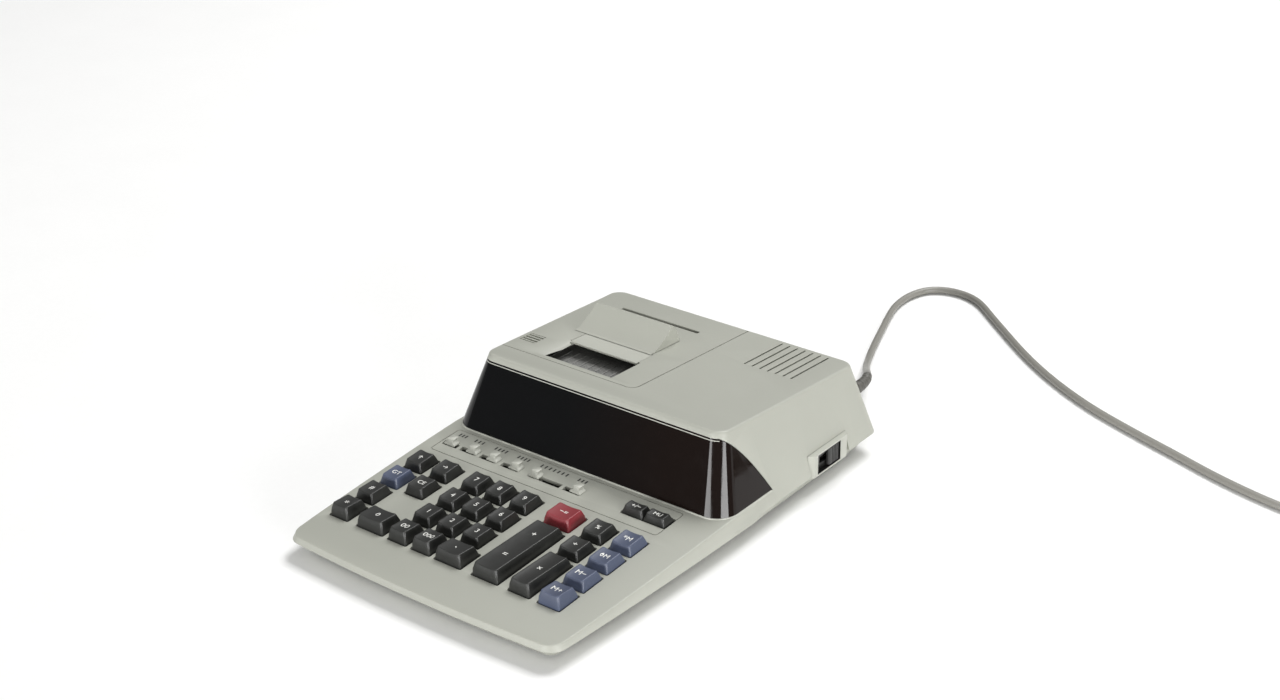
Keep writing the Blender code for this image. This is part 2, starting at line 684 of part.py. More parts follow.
def make_key(name, colour, x, width, f0, f1, front_height, rear_height):
    """A key: a guide stem, and a tapered cap with a hollowed top, rising through the deck."""
    x0, x1 = x - width / 2, x + width / 2
    middle_f = (f0 + f1) / 2
    stem = KEY_STEM / 2
    top = (x0 + 1.8, x1 - 1.8, f0 + 1.7, f1 - 2.8)
    dish = (x0 + 3.6, x1 - 3.6, f0 + 3.6, f1 - 4.8)

    def level(span, corner, height_at):
        return [(px, pf, deck_z(pf) + height_at(pf)) for px, pf in rectangle_ring(*span, corner)]

    def top_height(f):
        return front_height + (rear_height - front_height) * (f - f0) / (f1 - f0)

    stem_span = (x - stem, x + stem, middle_f - stem, middle_f + stem)
    stacked(name, colour, [
        level(stem_span, 0.6, lambda f: STEM_BOTTOM),
        level(stem_span, 0.6, lambda f: -KEY_SKIRT),
        level((x0, x1, f0, f1), 1.2, lambda f: -KEY_SKIRT),
        level((x0, x1, f0, f1), 1.2, lambda f: 0.6),
        level((top[0] - 0.5, top[1] + 0.5, top[2] - 0.4, top[3] + 0.6), 1.6, lambda f: top_height(f) - 0.9),
        level(top, 1.6, top_height),
        level(dish, 1.6, lambda f: top_height(f) - 0.7),
    ])


def make_keys():
    for name, x, width, row, rows, colour, front_height, rear_height in KEYS:
        f0 = ROW_F + (row - 1) * ROW_PITCH
        f1 = f0 + KEY_DEPTH + (rows - 1) * ROW_PITCH
        make_key(name, colour, x, width, f0, f1, front_height, rear_height)
    for name, x, width in STRIP_KEYS:
        make_key(name, "charcoal", x, width, *STRIP_KEY_F, STRIP_KEY_HEIGHT, STRIP_KEY_HEIGHT)


def make_slide_knob(name, x):
    """A thumb tab on a stem that runs in a slot, with a wide shoe under the deck."""
    stem_x, stem_f = SLIDE_STEM[0] / 2, SLIDE_STEM[1] / 2
    shoe_x, shoe_f = SLIDE_SHOE[0] / 2, SLIDE_SHOE[1] / 2
    f = SLIDE_F

    def level(half_x, front, rear, z):
        corner = min(half_x, (rear - front) / 2) * 0.4
        ring = rectangle_ring(x - half_x, x + half_x, front, rear, corner)
        return [(px, pf, deck_z(pf) + z) for px, pf in ring]

    stacked(name, "knob", [
        level(shoe_x, f - shoe_f, f + shoe_f, -WALL - GAP - 1.2),
        level(shoe_x, f - shoe_f, f + shoe_f, -WALL - GAP),
        level(stem_x, f - stem_f, f + stem_f, -WALL - GAP),
        level(stem_x, f - stem_f, f + stem_f, GAP),
        level(4.4, f - 1.9, f + 4.2, GAP),
        level(4.2, f - 1.7, f + 4.3, 1.0),
        level(2.4, f - 0.8, f + 4.4, 2.6),
        level(2.6, f - 0.2, f + 5.0, 4.0),
    ])


def make_slide_knobs():
    for name, x, _, _ in SLIDE_SWITCHES:
        make_slide_knob(name, x)


def make_power_switch():
    """The bezel's face stands upright while the case wall leans, so it stands proud at its top."""
    chamfer = 3.0
    outline = [(BEZEL_X[0], BEZEL_F[0]), (BEZEL_X[1] - chamfer, BEZEL_F[0]), (BEZEL_X[1], BEZEL_F[0] + chamfer),
               (BEZEL_X[1], BEZEL_F[1] - chamfer), (BEZEL_X[1] - chamfer, BEZEL_F[1]), (BEZEL_X[0], BEZEL_F[1])]
    bezel = plan_prism("power_switch_bezel", "knob", outline, *BEZEL_Z)
    pocket = ((POCKET_X, 115.0), POCKET_F, POCKET_Z)
    slot_f = (POWER_STEM_F[0] - POWER_TRAVEL - GAP, POWER_STEM_F[1] + GAP)
    slot = ((100.0, 110.0), slot_f, (POWER_STEM_Z[0] - GAP, POWER_STEM_Z[1] + GAP))
    cut(bezel, boxes("power_pocket", None, [pocket]), boxes("power_slot", None, [slot]))
    knob = boxes("power_switch_knob", "black", [((POCKET_X + GAP, 110.2), POWER_KNOB_F, (13.3, 25.1))])
    rounded(knob, 0.5, 1)
    stem = boxes("power_stem", None, [((99.0, 108.5), POWER_STEM_F, POWER_STEM_Z)])
    join(knob, stem)


# Inside the case


def make_key_plate():
    span = (KEYBOARD_X, KEYBOARD_F, (PLATE_TOP - PLATE_THICK, PLATE_TOP))
    plate = boxes("key_plate", "printer", [span])
    shear_to_deck(plate)
    half = KEY_STEM / 2 + 0.4
    spans = []
    for _, x, _, row, rows, *_ in KEYS:
        f = ROW_F + (row - 1) * ROW_PITCH + (KEY_DEPTH + (rows - 1) * ROW_PITCH) / 2
        spans.append(((x - half, x + half), (f - half, f + half), (0.0, 40.0)))
    for _, x, _ in STRIP_KEYS:
        f = sum(STRIP_KEY_F) / 2
        spans.append(((x - half, x + half), (f - half, f + half), (0.0, 40.0)))
    cut(plate, boxes("stem_hole_cutter", None, spans))


def make_boards():
    span = (KEYBOARD_X, KEYBOARD_F, (BOARD_TOP - BOARD_THICK, BOARD_TOP))
    shear_to_deck(boxes("keyboard_board", "board", [span]))
    boxes("main_board", "board", [((-90.0, 90.0), (162.0, 312.0), (7.4, 9.0))])


def make_display_tube():
    tube = boxes("display_tube", "glass", [((-70.0, 70.0), (-3.5 + CASE_DEPTH / 2, 3.5 + CASE_DEPTH / 2),
                                           (-11.0, 11.0))])
    rounded(tube, 1.5, 2)
    tube.rotation_euler.x = -math.atan(HOUSING_FRONT_LEAN)
    tube.location = place(0.0, 184.0, 44.0)


def make_transformer():
    core = boxes("transformer", "steel", [((36.0, 84.0), (274.0, 292.0), (9.6, 49.6))])
    winding = boxes("transformer_winding", None, [((44.5, 75.5), (265.0, 301.0), (17.0, 42.0))])
    join(core, rounded(winding, 3.0, 2))


def make_printer_frame():
    x0, x1 = FRAME_X
    f0, f1 = FRAME_F
    z0, z1 = FRAME_Z
    frame = boxes("printer_frame", "printer", [((x0, x1), (f0, f1), (z0, z0 + FRAME_SHEET))])
    walls = [((x0, x0 + FRAME_SHEET), (f0, f1), (z0 + 1.0, z1)), ((x1 - FRAME_SHEET, x1), (f0, f1), (z0 + 1.0, z1))]
    for i, wall in enumerate(walls):
        join(frame, boxes(f"frame_wall_{i}", None, [wall]))
    join(frame, boxes("frame_back", None, [((x0 + 1.0, x1 - 1.0), (f1 - FRAME_SHEET, f1), (z0 + 1.0, 40.0))]))
    for i, f in enumerate((DRUM_F, FEED_F)):
        cut(frame, cylinder(f"bearing_hole_{i}", None, place(-37.0, f, ROLLER_Z), SHAFT_RADIUS + GAP, 110.0, "X", 20))


def gear_outline(tilt):
    """A spur gear's outline about (0, 0), as straight-sided teeth."""
    pitch_radius = GEAR_TEETH * GEAR_MODULE / 2
    steps = ((pitch_radius - 2.1, -9.2), (pitch_radius + 1.5, -2.6), (pitch_radius + 1.5, 2.6), (pitch_radius - 2.1, 9.2))
    outline = []
    for i in range(GEAR_TEETH):
        for radius, degrees in steps:
            angle = math.radians(tilt + 360.0 * i / GEAR_TEETH + degrees)
            outline.append((radius * math.cos(angle), radius * math.sin(angle)))
    return outline


def make_roller(name, colour, f, radius, tilt):
    """A roller on its shaft, with a gear outside the left frame wall, turning about its own X axis."""
    profile = [(0.0, 10.5), (SHAFT_RADIUS, 10.5), (SHAFT_RADIUS, 1.0), (radius, 1.0), (radius, -75.0),
               (SHAFT_RADIUS, -75.0), (SHAFT_RADIUS, -89.0), (0.0, -89.0)]
    roller = turned(name, colour, [(r * MM, height * MM) for r, height in profile], 24)
    gear = prism(f"{name}_gear", None, gear_outline(tilt), lambda a, b, x: Vector((-b, a, x)) * MM, *GEAR_X)
    join(roller, gear)
    for obj in (roller, gear):
        obj.rotation_euler.y = math.pi / 2
        obj.location = place(0.0, f, ROLLER_Z)


# Mains lead


def tube(name, colour, points, radii, resolution):
    """A tube through points in metres, with a radius for each."""
    curve = bpy.data.curves.new(name, "CURVE")
    curve.dimensions = "3D"
    curve.bevel_depth = 1.0
    curve.bevel_resolution = resolution
    curve.use_fill_caps = True
    spline = curve.splines.new("POLY")
    spline.points.add(len(points) - 1)
    for point, centre, radius in zip(spline.points, points, radii):
        point.co = (*centre, 1.0)
        point.radius = radius
    obj = bpy.data.objects.new(name, curve)
    PARTS.objects.link(obj)
    curve.materials.append(MATERIALS[colour])
    return obj


def smooth_route(route, spacing):
    """Evenly spaced points on the smooth curve that passes through the route's own points."""
    nodes = [Vector(point) for point in route]
    nodes = [2 * nodes[0] - nodes[1], *nodes, 2 * nodes[-1] - nodes[-2]]
    fine = []
    for a, b, c, d in zip(nodes, nodes[1:], nodes[2:], nodes[3:]):
        for i in range(20):
            t = i / 20
            fine.append(0.5 * (2 * b + (c - a) * t + (2 * a - 5 * b + 4 * c - d) * t * t
                               + (3 * b - a - 3 * c + d) * t ** 3))
    fine.append(nodes[-2])
    lengths = [0.0]
    for a, b in zip(fine, fine[1:]):
        lengths.append(lengths[-1] + (b - a).length)
    count = round(lengths[-1] / spacing)
    points, j = [], 0
    for i in range(count + 1):
        along = lengths[-1] * i / count
        while j < len(fine) - 2 and lengths[j + 1] < along:
            j += 1
        share = (along - lengths[j]) / (lengths[j + 1] - lengths[j])
        points.append(fine[j].lerp(fine[j + 1], share))
    return points


def rod_between(name, start, end, radius):
    """A plain round bar between two points in metres."""
    start, end = Vector(start), Vector(end)
    turn = (end - start).to_track_quat("Z", "Y").to_matrix().to_4x4()
    bm = bmesh.new()
    bmesh.ops.create_cone(bm, cap_ends=True, segments=12, radius1=radius, radius2=radius,
                          depth=(end - start).length, matrix=Matrix.Translation((start + end) / 2) @ turn)
    return finish_mesh(name, bm, None)


def make_lead():
    points = smooth_route(LEAD_ROUTE, LEAD_POINT_SPACING)
    tube("mains_lead", "lead", points, [LEAD_RADIUS] * len(points), 2)
    relief = [point[:3] for point in RELIEF_POINTS]
    tube("strain_relief", "relief", relief, [point[3] for point in RELIEF_POINTS], 3)


def make_coil():
    """The lead's coil as one turned ring, with the two short ends that run out of it."""
    low, high, bevel = COIL_BOTTOM, COIL_TOP, 0.0022
    profile = [(COIL_INNER, high - bevel), (COIL_INNER + bevel, high), (COIL_OUTER - bevel, high),
               (COIL_OUTER, high - bevel), (COIL_OUTER, low + bevel), (COIL_OUTER - bevel, low),
               (COIL_INNER + bevel, low), (COIL_INNER, low + bevel), (COIL_INNER, high - bevel)]
    coil = turned("mains_lead_coil", "lead", profile, 40)
    coil.location = (*COIL_CENTRE, 0.0)
    x, y = COIL_CENTRE
    arrive_y = y - COIL_END_RADIUS
    table_z = LEAD_RADIUS + 0.0002
    join(coil, rod_between("coil_arrival", (LEAD_ROUTE[-1][0] + 0.0004, arrive_y, table_z),
                           (x - 0.002, arrive_y, table_z), LEAD_RADIUS))
    join(coil, rod_between("coil_departure", (x + COIL_END_RADIUS, y + 0.002, COIL_END_Z),
                           (PLUG_X, PLUG_Y - 0.0012, PLUG_Z), LEAD_RADIUS))


def make_plug():
    """A flat two-pin plug, lying beside the coil and pointing back."""
    rings = ((0.0, 3.2, 3.2), (11.0, 4.6, 4.6), (13.5, 8.0, 6.4), (20.0, 12.6, 6.8), (36.0, 13.0, 6.8))
    corner = 0.35
    bm = bmesh.new()
    levels = []
    for back, half_width, half_height in rings:
        cut_off = min(half_width, half_height) * 2 * corner
        ring = rectangle_ring(-half_width, half_width, -half_height, half_height, cut_off)
        levels.append([bm.verts.new(Vector((PLUG_X + a * MM, PLUG_Y + back * MM, PLUG_Z + b * MM))) for a, b in ring])
    for lower, upper in zip(levels, levels[1:]):
        for i in range(8):
            j = (i + 1) % 8
            bm.faces.new((lower[i], lower[j], upper[j], upper[i]))
    bm.faces.new(levels[0])
    bm.faces.new(levels[-1])
    plug = finish_mesh("mains_plug", bm, "lead")
    back = PLUG_Y + 0.035
    for side in (-1, 1):
        x = PLUG_X + side * 0.0091
        pin = rod_between(f"plug_pin_{side}", (x, back, PLUG_Z), (x, back + 0.020, PLUG_Z), 0.002)
        join(plug, pin)


def main():
    bezel = bezel_cutter()
    make_upper_case(bezel)
    make_lower_case(bezel)
    make_display_window()
    make_printer_cover()
    make_paper_cutter()
    make_paper_guide()
    make_feet()
    make_keys()
    make_slide_knobs()
    make_power_switch()
    make_key_plate()
    make_boards()
    make_display_tube()
    make_transformer()
    make_printer_frame()
    make_roller("print_drum", "printer", DRUM_F, 9.0, 0.0)
    make_roller("feed_roller", "rubber", FEED_F, 8.0, 180.0 / GEAR_TEETH)
    make_lead()
    make_coil()
    make_plug()


main()
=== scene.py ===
"""Desktop printing calculator: the looks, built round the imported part.

Measures are in millimetres and are placed with place(x, f, z), as in the part: x runs to the right from
the middle, f runs back from the front edge of the case, and z runs up from the table. The mains lead is in
metres instead.
"""

import json
import math
import random

import bmesh
import bpy
from mathutils import Matrix, Vector

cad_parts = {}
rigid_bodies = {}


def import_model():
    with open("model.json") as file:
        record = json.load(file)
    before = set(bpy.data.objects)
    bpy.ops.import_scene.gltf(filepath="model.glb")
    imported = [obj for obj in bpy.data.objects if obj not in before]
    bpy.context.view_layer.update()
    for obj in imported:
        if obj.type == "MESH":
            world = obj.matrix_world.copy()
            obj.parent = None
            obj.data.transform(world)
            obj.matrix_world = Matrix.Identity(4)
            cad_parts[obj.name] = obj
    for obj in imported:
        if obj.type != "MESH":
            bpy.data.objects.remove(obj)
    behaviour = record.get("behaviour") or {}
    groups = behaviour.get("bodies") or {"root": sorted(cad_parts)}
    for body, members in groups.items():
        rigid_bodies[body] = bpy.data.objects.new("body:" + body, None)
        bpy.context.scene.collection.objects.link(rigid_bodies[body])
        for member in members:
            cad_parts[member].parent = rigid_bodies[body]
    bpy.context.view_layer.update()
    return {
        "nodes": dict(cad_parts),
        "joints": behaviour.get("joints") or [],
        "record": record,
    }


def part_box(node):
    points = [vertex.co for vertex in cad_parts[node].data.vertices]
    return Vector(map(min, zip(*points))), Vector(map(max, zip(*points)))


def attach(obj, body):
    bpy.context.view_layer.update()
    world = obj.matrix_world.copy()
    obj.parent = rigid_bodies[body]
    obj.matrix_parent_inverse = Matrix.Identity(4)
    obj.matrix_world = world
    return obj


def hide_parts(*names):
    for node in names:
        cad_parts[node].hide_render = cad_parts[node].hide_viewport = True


for startup_object in list(bpy.data.objects):
    bpy.data.objects.remove(startup_object, do_unlink=True)
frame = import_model()

MM = 0.001
GAP = 0.3

# Far enough out to cut right through the case: past its sides, behind it and above it
OUTSIDE_X, BEHIND_F, ABOVE_Z = 130.0, 345.0, 90.0
# How deep the holes for keys, switches, air and paper are cut
HOLE_DEPTH = 14.0

# The part's driving dimensions
CASE_DEPTH = 327.0
WALL = 2.3
SEAM_Z = 11.0
REAR_SEAM_Z = 13.9
STEP_F = 212.0
FLOOR_Z = 2.5
DECK_FRONT_Z, DECK_SLOPE, DECK_TOP_Z = 14.4, 0.05, 22.4
DECK_ROUND = 1.0
TUCK_F, SLAB_TUCK = 185.0, 2.0
HOUSING_HALF, HOUSING_BOTTOM_Z, HOUSING_LEAN = 110.6, 13.5, 0.29
HOUSING_FRONT_F, HOUSING_FRONT_LEAN = 156.8, 0.371
HOUSING_REAR_F, HOUSING_REAR_LEAN = 327.0, 0.21
HOUSING_CORNER, HOUSING_CORNER_TAPER, HOUSING_REAR_CORNER = 15.0, 0.126, 9.0
TOP_FRONT_Z, TOP_FRONT_F, TOP_SLOPE, TOP_ROUND = 70.0, 189.0, -0.066, 1.6
WINDOW_FRONT_F, WINDOW_BOTTOM_Z, WINDOW_TOP_Z, WINDOW_THICK = 140.0, 22.7, 66.6, 2.2
WINDOW_CURVE = ((175.0, 66.6), (190.8, 55.0), (208.0, 22.7))
COVER_X, COVER_F, COVER_CORNER, COVER_BOTTOM_Z, COVER_TRIM = 14.0, 192.0, 6.0, 50.0, 0.15
OPENING_X, OPENING_F = (-62.0, -8.0), (197.0, 227.0)
CUTTER_X, CUTTER_F = (-63.6, -9.4), (224.6, 242.0)
CUTTER_TEETH, CUTTER_TOOTH = 44, 0.7
GUIDE_X = (-73.0, -10.0)
SLOT_X, SLOT_F = (-73.6, -9.2), (290.0, 293.2)
VENT_COUNT, VENT_X, VENT_PITCH, VENT_WIDTH, VENT_F = 7, 43.2, 5.95, 1.3, (269.5, 313.0)
KEY_GAP = 0.9
STRIP_KEYS = ("change_sign", "markup")
SLIDE_F, SLIDE_SLOT_WIDTH, SLIDE_STEM_HALF = 136.4, 4.4, 2.5
BEZEL_F, BEZEL_Z, BEZEL_X, BEZEL_CHAMFER = (248.0, 291.0), (11.3, 27.0), (104.8, 110.6), 3.0
POCKET_F, POCKET_Z, POCKET_FLOOR_X = (255.5, 280.5), (12.7, 25.7), 107.4
POWER_STEM_F, POWER_STEM_Z = (271.5, 275.5), (17.0, 21.0)
POWER_TRAVEL = 10.0
ROLLER_Z, DRUM_F, FEED_F = 45.0, 214.0, 242.0


# Placing and building


def place(x, f, z):
    return Vector((x, f - CASE_DEPTH / 2, z)) * MM


def span(node):
    """A CAD node's box as its two ends along x, f and z, in millimetres."""
    low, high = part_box(node)
    middle = CASE_DEPTH / 2
    return ((low.x / MM, high.x / MM), (low.y / MM + middle, high.y / MM + middle),
            (low.z / MM, high.z / MM))


def link(name, mesh, material=None, sharp=30):
    obj = bpy.data.objects.new(name, mesh)
    bpy.context.scene.collection.objects.link(obj)
    if material:
        mesh.materials.clear()
        mesh.materials.append(MATERIALS[material])
    mesh.shade_smooth()
    mesh.set_sharp_from_angle(angle=math.radians(sharp))
    return obj


def finish_mesh(name, bm, material=None, sharp=30):
    bmesh.ops.recalc_face_normals(bm, faces=bm.faces)
    mesh = bpy.data.meshes.new(name)
    bm.to_mesh(mesh)
    bm.free()
    return link(name, mesh, material, sharp)


def skin(bm, rings, close_first=True, close_last=True):
    """Faces between rings of vertices that all have the same count, and over the first and last."""
    count = len(rings[0])
    for lower, upper in zip(rings, rings[1:]):
        for i in range(count):
            j = (i + 1) % count
            bm.faces.new((lower[i], lower[j], upper[j], upper[i]))
    if close_first:
        bm.faces.new(rings[0])
    if close_last:
        bm.faces.new(rings[-1])


def stacked(name, rings, material=None, sharp=30):
    """A closed body through rings of (x, f, z) points, bottom first."""
    bm = bmesh.new()
    skin(bm, [[bm.verts.new(place(*point)) for point in ring] for ring in rings])
    return finish_mesh(name, bm, material, sharp)


def side_prism(name, outline, low, high, material=None):
    """An outline of (f, z) points, carried from x = low to x = high."""
    return stacked(name, [[(x, f, z) for f, z in outline] for x in (low, high)], material)


def plan_prism(name, outline, low, high):
    """An outline of (x, f) points, carried from z = low to z = high."""
    return stacked(name, [[(x, f, z) for x, f in outline] for z in (low, high)])


def box(name, x, f, z, material=None):
    bm = bmesh.new()
    size = Vector((x[1] - x[0], f[1] - f[0], z[1] - z[0])) * MM
    middle = Matrix.Translation(place(sum(x) / 2, sum(f) / 2, sum(z) / 2))
    bmesh.ops.create_cube(bm, size=1.0, matrix=middle @ Matrix.Diagonal((*size, 1.0)))
    return finish_mesh(name, bm, material)


def hoop(name, loops, material=None, sharp=30):
    """A closed ring-shaped body: each loop of points is joined to the next, and the last to the first."""
    bm = bmesh.new()
    made = [[bm.verts.new(point) for point in loop] for loop in loops]
    skin(bm, [*made, made[0]], close_first=False, close_last=False)
    return finish_mesh(name, bm, material, sharp)


def shaped(obj, **operations):
    """Cuts, joins or intersects obj with lists of tools, applies the result, and removes the tools."""
    tools = []
    for operation, others in operations.items():
        for other in others:
            modifier = obj.modifiers.new(other.name, "BOOLEAN")
            modifier.object = other
            modifier.operation = operation.upper()
            modifier.solver = "EXACT"
            tools.append(other)
    graph = bpy.context.evaluated_depsgraph_get()
    mesh = bpy.data.meshes.new_from_object(obj.evaluated_get(graph))
    obj.modifiers.clear()
    obj.data = mesh
    for other in tools:
        bpy.data.objects.remove(other, do_unlink=True)
    mesh.shade_smooth()
    mesh.set_sharp_from_angle(angle=math.radians(30))
    return obj


def painted(obj, material):
    obj.data.materials.append(MATERIALS[material])
    return obj


def bevelled(obj, width, segments=2, angle=30):
    modifier = obj.modifiers.new("edges", "BEVEL")
    modifier.width = width * MM
    modifier.segments = segments
    modifier.limit_method = "ANGLE"
    modifier.angle_limit = math.radians(angle)
    modifier.harden_normals = True
    return obj


def piece(obj, body, slot, *nodes):
    """Makes obj ride on its body and stand for the CAD nodes given; slot is not used."""
    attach(obj, body)
    if nodes:
        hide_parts(*nodes)
    return obj


def widened(ends, margin):
    return (ends[0] - margin, ends[1] + margin)


def corners(x, f):
    return [(x[0], f[0]), (x[1], f[0]), (x[1], f[1]), (x[0], f[1])]


def arc(centre_x, centre_y, radius, first, last, count):
    angles = [math.radians(first + (last - first) * i / (count - 1)) for i in range(count)]
    return [(centre_x + radius * math.cos(a), centre_y + radius * math.sin(a)) for a in angles]


def rounded_rectangle(x0, x1, f0, f1, radius, per_corner=6, per_side=1):
    """Points round a rectangle with round corners; per_side is the number of steps along each side."""
    centres = ((x1 - radius, f0 + radius, -90), (x1 - radius, f1 - radius, 0),
               (x0 + radius, f1 - radius, 90), (x0 + radius, f0 + radius, 180))
    points = []
    for i, (x, f, first) in enumerate(centres):
        points += arc(x, f, radius, first, first + 90, per_corner)
        next_x, next_f, next_first = centres[(i + 1) % 4]
        start = points[-1]
        end = arc(next_x, next_f, radius, next_first, next_first + 90, 2)[0]
        for step in range(1, per_side):
            share = step / per_side
            points.append((start[0] + (end[0] - start[0]) * share, start[1] + (end[1] - start[1]) * share))
    return points


def smooth_step(t):
    t = min(max(t, 0.0), 1.0)
    return t * t * (3 - 2 * t)


# Materials


def add_node(tree, kind, inputs=None, **settings):
    made = tree.nodes.new(kind)
    for key, value in settings.items():
        setattr(made, key, value)
    for key, value in (inputs or {}).items():
        if isinstance(value, bpy.types.NodeSocket):
            tree.links.new(value, made.inputs[key])
        else:
            made.inputs[key].default_value = value
    return made


def noise(tree, coordinates, size_mm, detail=2.0):
    inputs = {"Vector": coordinates, "Scale": 1000.0 / size_mm, "Detail": detail}
    return add_node(tree, "ShaderNodeTexNoise", inputs).outputs["Fac"]


def ranged(tree, value, low, high, to_low, to_high):
    inputs = {"Value": value, "From Min": low, "From Max": high, "To Min": to_low, "To Max": to_high}
    return add_node(tree, "ShaderNodeMapRange", inputs).outputs["Result"]


def calculated(tree, operation, first, second):
    return add_node(tree, "ShaderNodeMath", {0: first, 1: second}, operation=operation).outputs[0]


def mixed(tree, factor, first, second):
    return add_node(tree, "ShaderNodeMix", {0: factor, 6: first, 7: second}, data_type="RGBA").outputs[2]


def parts_of(material):
    """A material's node tree, its shader, and coordinates in metres that are fixed to the object."""
    tree = material.node_tree
    return tree, tree.nodes["Principled BSDF"], add_node(tree, "ShaderNodeTexCoord").outputs["Object"]


def moulded(name, colour, roughness, grain, grain_depth=0.02, mottle=0.05, edge_highlight=0.0, metallic=0.0,
            specular=0.5):
    """Moulded plastic, rubber or metal: fine grain, broad mottling, uneven gloss, and convex edges made
    paler as a painted highlight.

    The grain's size and depth are in millimetres.
    """
    material = bpy.data.materials.new(name)
    material.use_nodes = True
    tree, shader, coordinates = parts_of(material)
    fine = noise(tree, coordinates, grain)
    broad = noise(tree, coordinates, 60.0, 4.0)
    shade = calculated(tree, "ADD", ranged(tree, fine, 0.3, 0.7, -mottle / 2, mottle / 2),
                       ranged(tree, broad, 0.3, 0.7, 1 - mottle / 2, 1 + mottle / 2))
    tone = add_node(tree, "ShaderNodeHueSaturation", {"Color": (*colour, 1.0), "Value": shade}).outputs[0]
    # Painted highlight: edges that stand out, found by their pointiness, are made paler
    if edge_highlight:
        edges = add_node(tree, "ShaderNodeNewGeometry").outputs["Pointiness"]
        highlight_share = ranged(tree, edges, 0.51, 0.58, 0.0, edge_highlight)
        paler = tuple(min(1.0, channel * 1.6 + 0.03) for channel in colour)
        tone = mixed(tree, highlight_share, tone, (*paler, 1.0))
    tree.links.new(tone, shader.inputs["Base Color"])
    gloss = ranged(tree, noise(tree, coordinates, 9.0, 3.0), 0.3, 0.7, roughness - 0.04, roughness + 0.04)
    tree.links.new(gloss, shader.inputs["Roughness"])
    bump = add_node(tree, "ShaderNodeBump", {"Strength": 0.4, "Distance": grain_depth * MM, "Height": fine})
    tree.links.new(bump.outputs["Normal"], shader.inputs["Normal"])
    shader.inputs["Metallic"].default_value = metallic
    shader.inputs["Specular IOR Level"].default_value = specular
    return material


def smoked_window(name):
    """Polished black plastic whose tone warms a little towards the right, as over a red filter."""
    material = moulded(name, (0.004, 0.004, 0.0045), 0.06, 30.0, 0.01, 0.2, specular=0.24)
    tree, shader, coordinates = parts_of(material)
    across = add_node(tree, "ShaderNodeSeparateXYZ", {0: coordinates}).outputs["X"]
    share = ranged(tree, across, -0.02, 0.06, 0.0, 1.0)
    tone = mixed(tree, share, (0.004, 0.0042, 0.0046, 1.0), (0.0085, 0.0052, 0.0042, 1.0))
    tree.links.new(tone, shader.inputs["Base Color"])
    return material


def circuit_board(name):
    """Green lacquer with paler tracks in steps, and small round solder spots."""
    material = moulded(name, (0.016, 0.095, 0.042), 0.35, 1.5, mottle=0.15)
    tree, shader, coordinates = parts_of(material)
    tracks = add_node(tree, "ShaderNodeTexBrick", {
        "Vector": coordinates, "Scale": 140.0, "Mortar Size": 0.03,
        "Color1": (0.016, 0.095, 0.042, 1.0), "Color2": (0.012, 0.080, 0.036, 1.0),
        "Mortar": (0.050, 0.170, 0.080, 1.0)}).outputs["Color"]
    cells = add_node(tree, "ShaderNodeTexVoronoi", {"Vector": coordinates, "Scale": 220.0})
    spots = ranged(tree, cells.outputs["Distance"], 0.10, 0.16, 1.0, 0.0)
    tree.links.new(mixed(tree, spots, tracks, (0.42, 0.42, 0.40, 1.0)), shader.inputs["Base Color"])
    return material


def glass_tube(name):
    material = moulded(name, (0.30, 0.36, 0.35), 0.06, 20.0, 0.005)
    material.node_tree.nodes["Principled BSDF"].inputs["Transmission Weight"].default_value = 0.8
    return material


# Each plain material: its name, colour, roughness, grain size, grain depth, mottling, painted edge
# highlight, metal and gloss
PLAIN_MATERIALS = {
    "case": ("case_plastic", (0.368, 0.374, 0.328), 0.46, 0.45, 0.015, 0.035, 0.12),
    "charcoal": ("charcoal_plastic", (0.0185, 0.0190, 0.0175), 0.36, 0.35, 0.02, 0.12, 0.5),
    "blue": ("blue_plastic", (0.070, 0.085, 0.135), 0.36, 0.35, 0.02, 0.08, 0.35),
    "red": ("red_plastic", (0.225, 0.028, 0.036), 0.36, 0.35, 0.02, 0.08, 0.3),
    "knob": ("knob_plastic", (0.400, 0.406, 0.360), 0.42, 0.4, 0.01, 0.04, 0.2),
    "legend": ("legend_ink", (0.82, 0.82, 0.78), 0.5, 0.2, 0.004, 0.08),
    "ink": ("dark_ink", (0.018, 0.018, 0.017), 0.55, 0.2, 0.004, 0.2),
    "black": ("black_plastic", (0.011, 0.011, 0.010), 0.30, 0.4, 0.02, 0.2, 0.6),
    "printer": ("printer_plastic", (0.050, 0.050, 0.046), 0.38, 0.6, 0.02, 0.25, 0.8),
    "shield": ("shield_plate", (0.260, 0.260, 0.250), 0.42, 1.1, 0.06, 0.5, 0.8, 0.3),
    "steel": ("bright_steel", (0.62, 0.61, 0.59), 0.26, 0.8, 0.02, 0.10, 0.0, 1.0),
    "rubber": ("black_rubber", (0.018, 0.018, 0.017), 0.72, 0.5, 0.04, 0.2, 0.3),
    "lead": ("lead_sheath", (0.235, 0.228, 0.205), 0.40, 0.6, 0.01, 0.06),
    "relief": ("relief_rubber", (0.085, 0.082, 0.072), 0.46, 0.5, 0.02, 0.12, 0.5),
    "floor": ("pale_floor", (0.94, 0.94, 0.935), 0.6, 4.0, 0.01, 0.012, 0.0, 0.0, 0.2),
}
MATERIALS = {slot: moulded(*facts) for slot, facts in PLAIN_MATERIALS.items()}
MATERIALS["window"] = smoked_window("window_plastic")
MATERIALS["board"] = circuit_board("board_lacquer")
MATERIALS["glass"] = glass_tube("tube_glass")


# Camera and lights

CAMERA_PLACE = (0.7491, -0.9015, 0.6800)
CAMERA_AZIMUTH, CAMERA_ELEVATION, CAMERA_ROLL = 38.11, 26.2, -0.87
CAMERA_LENS = 60.49

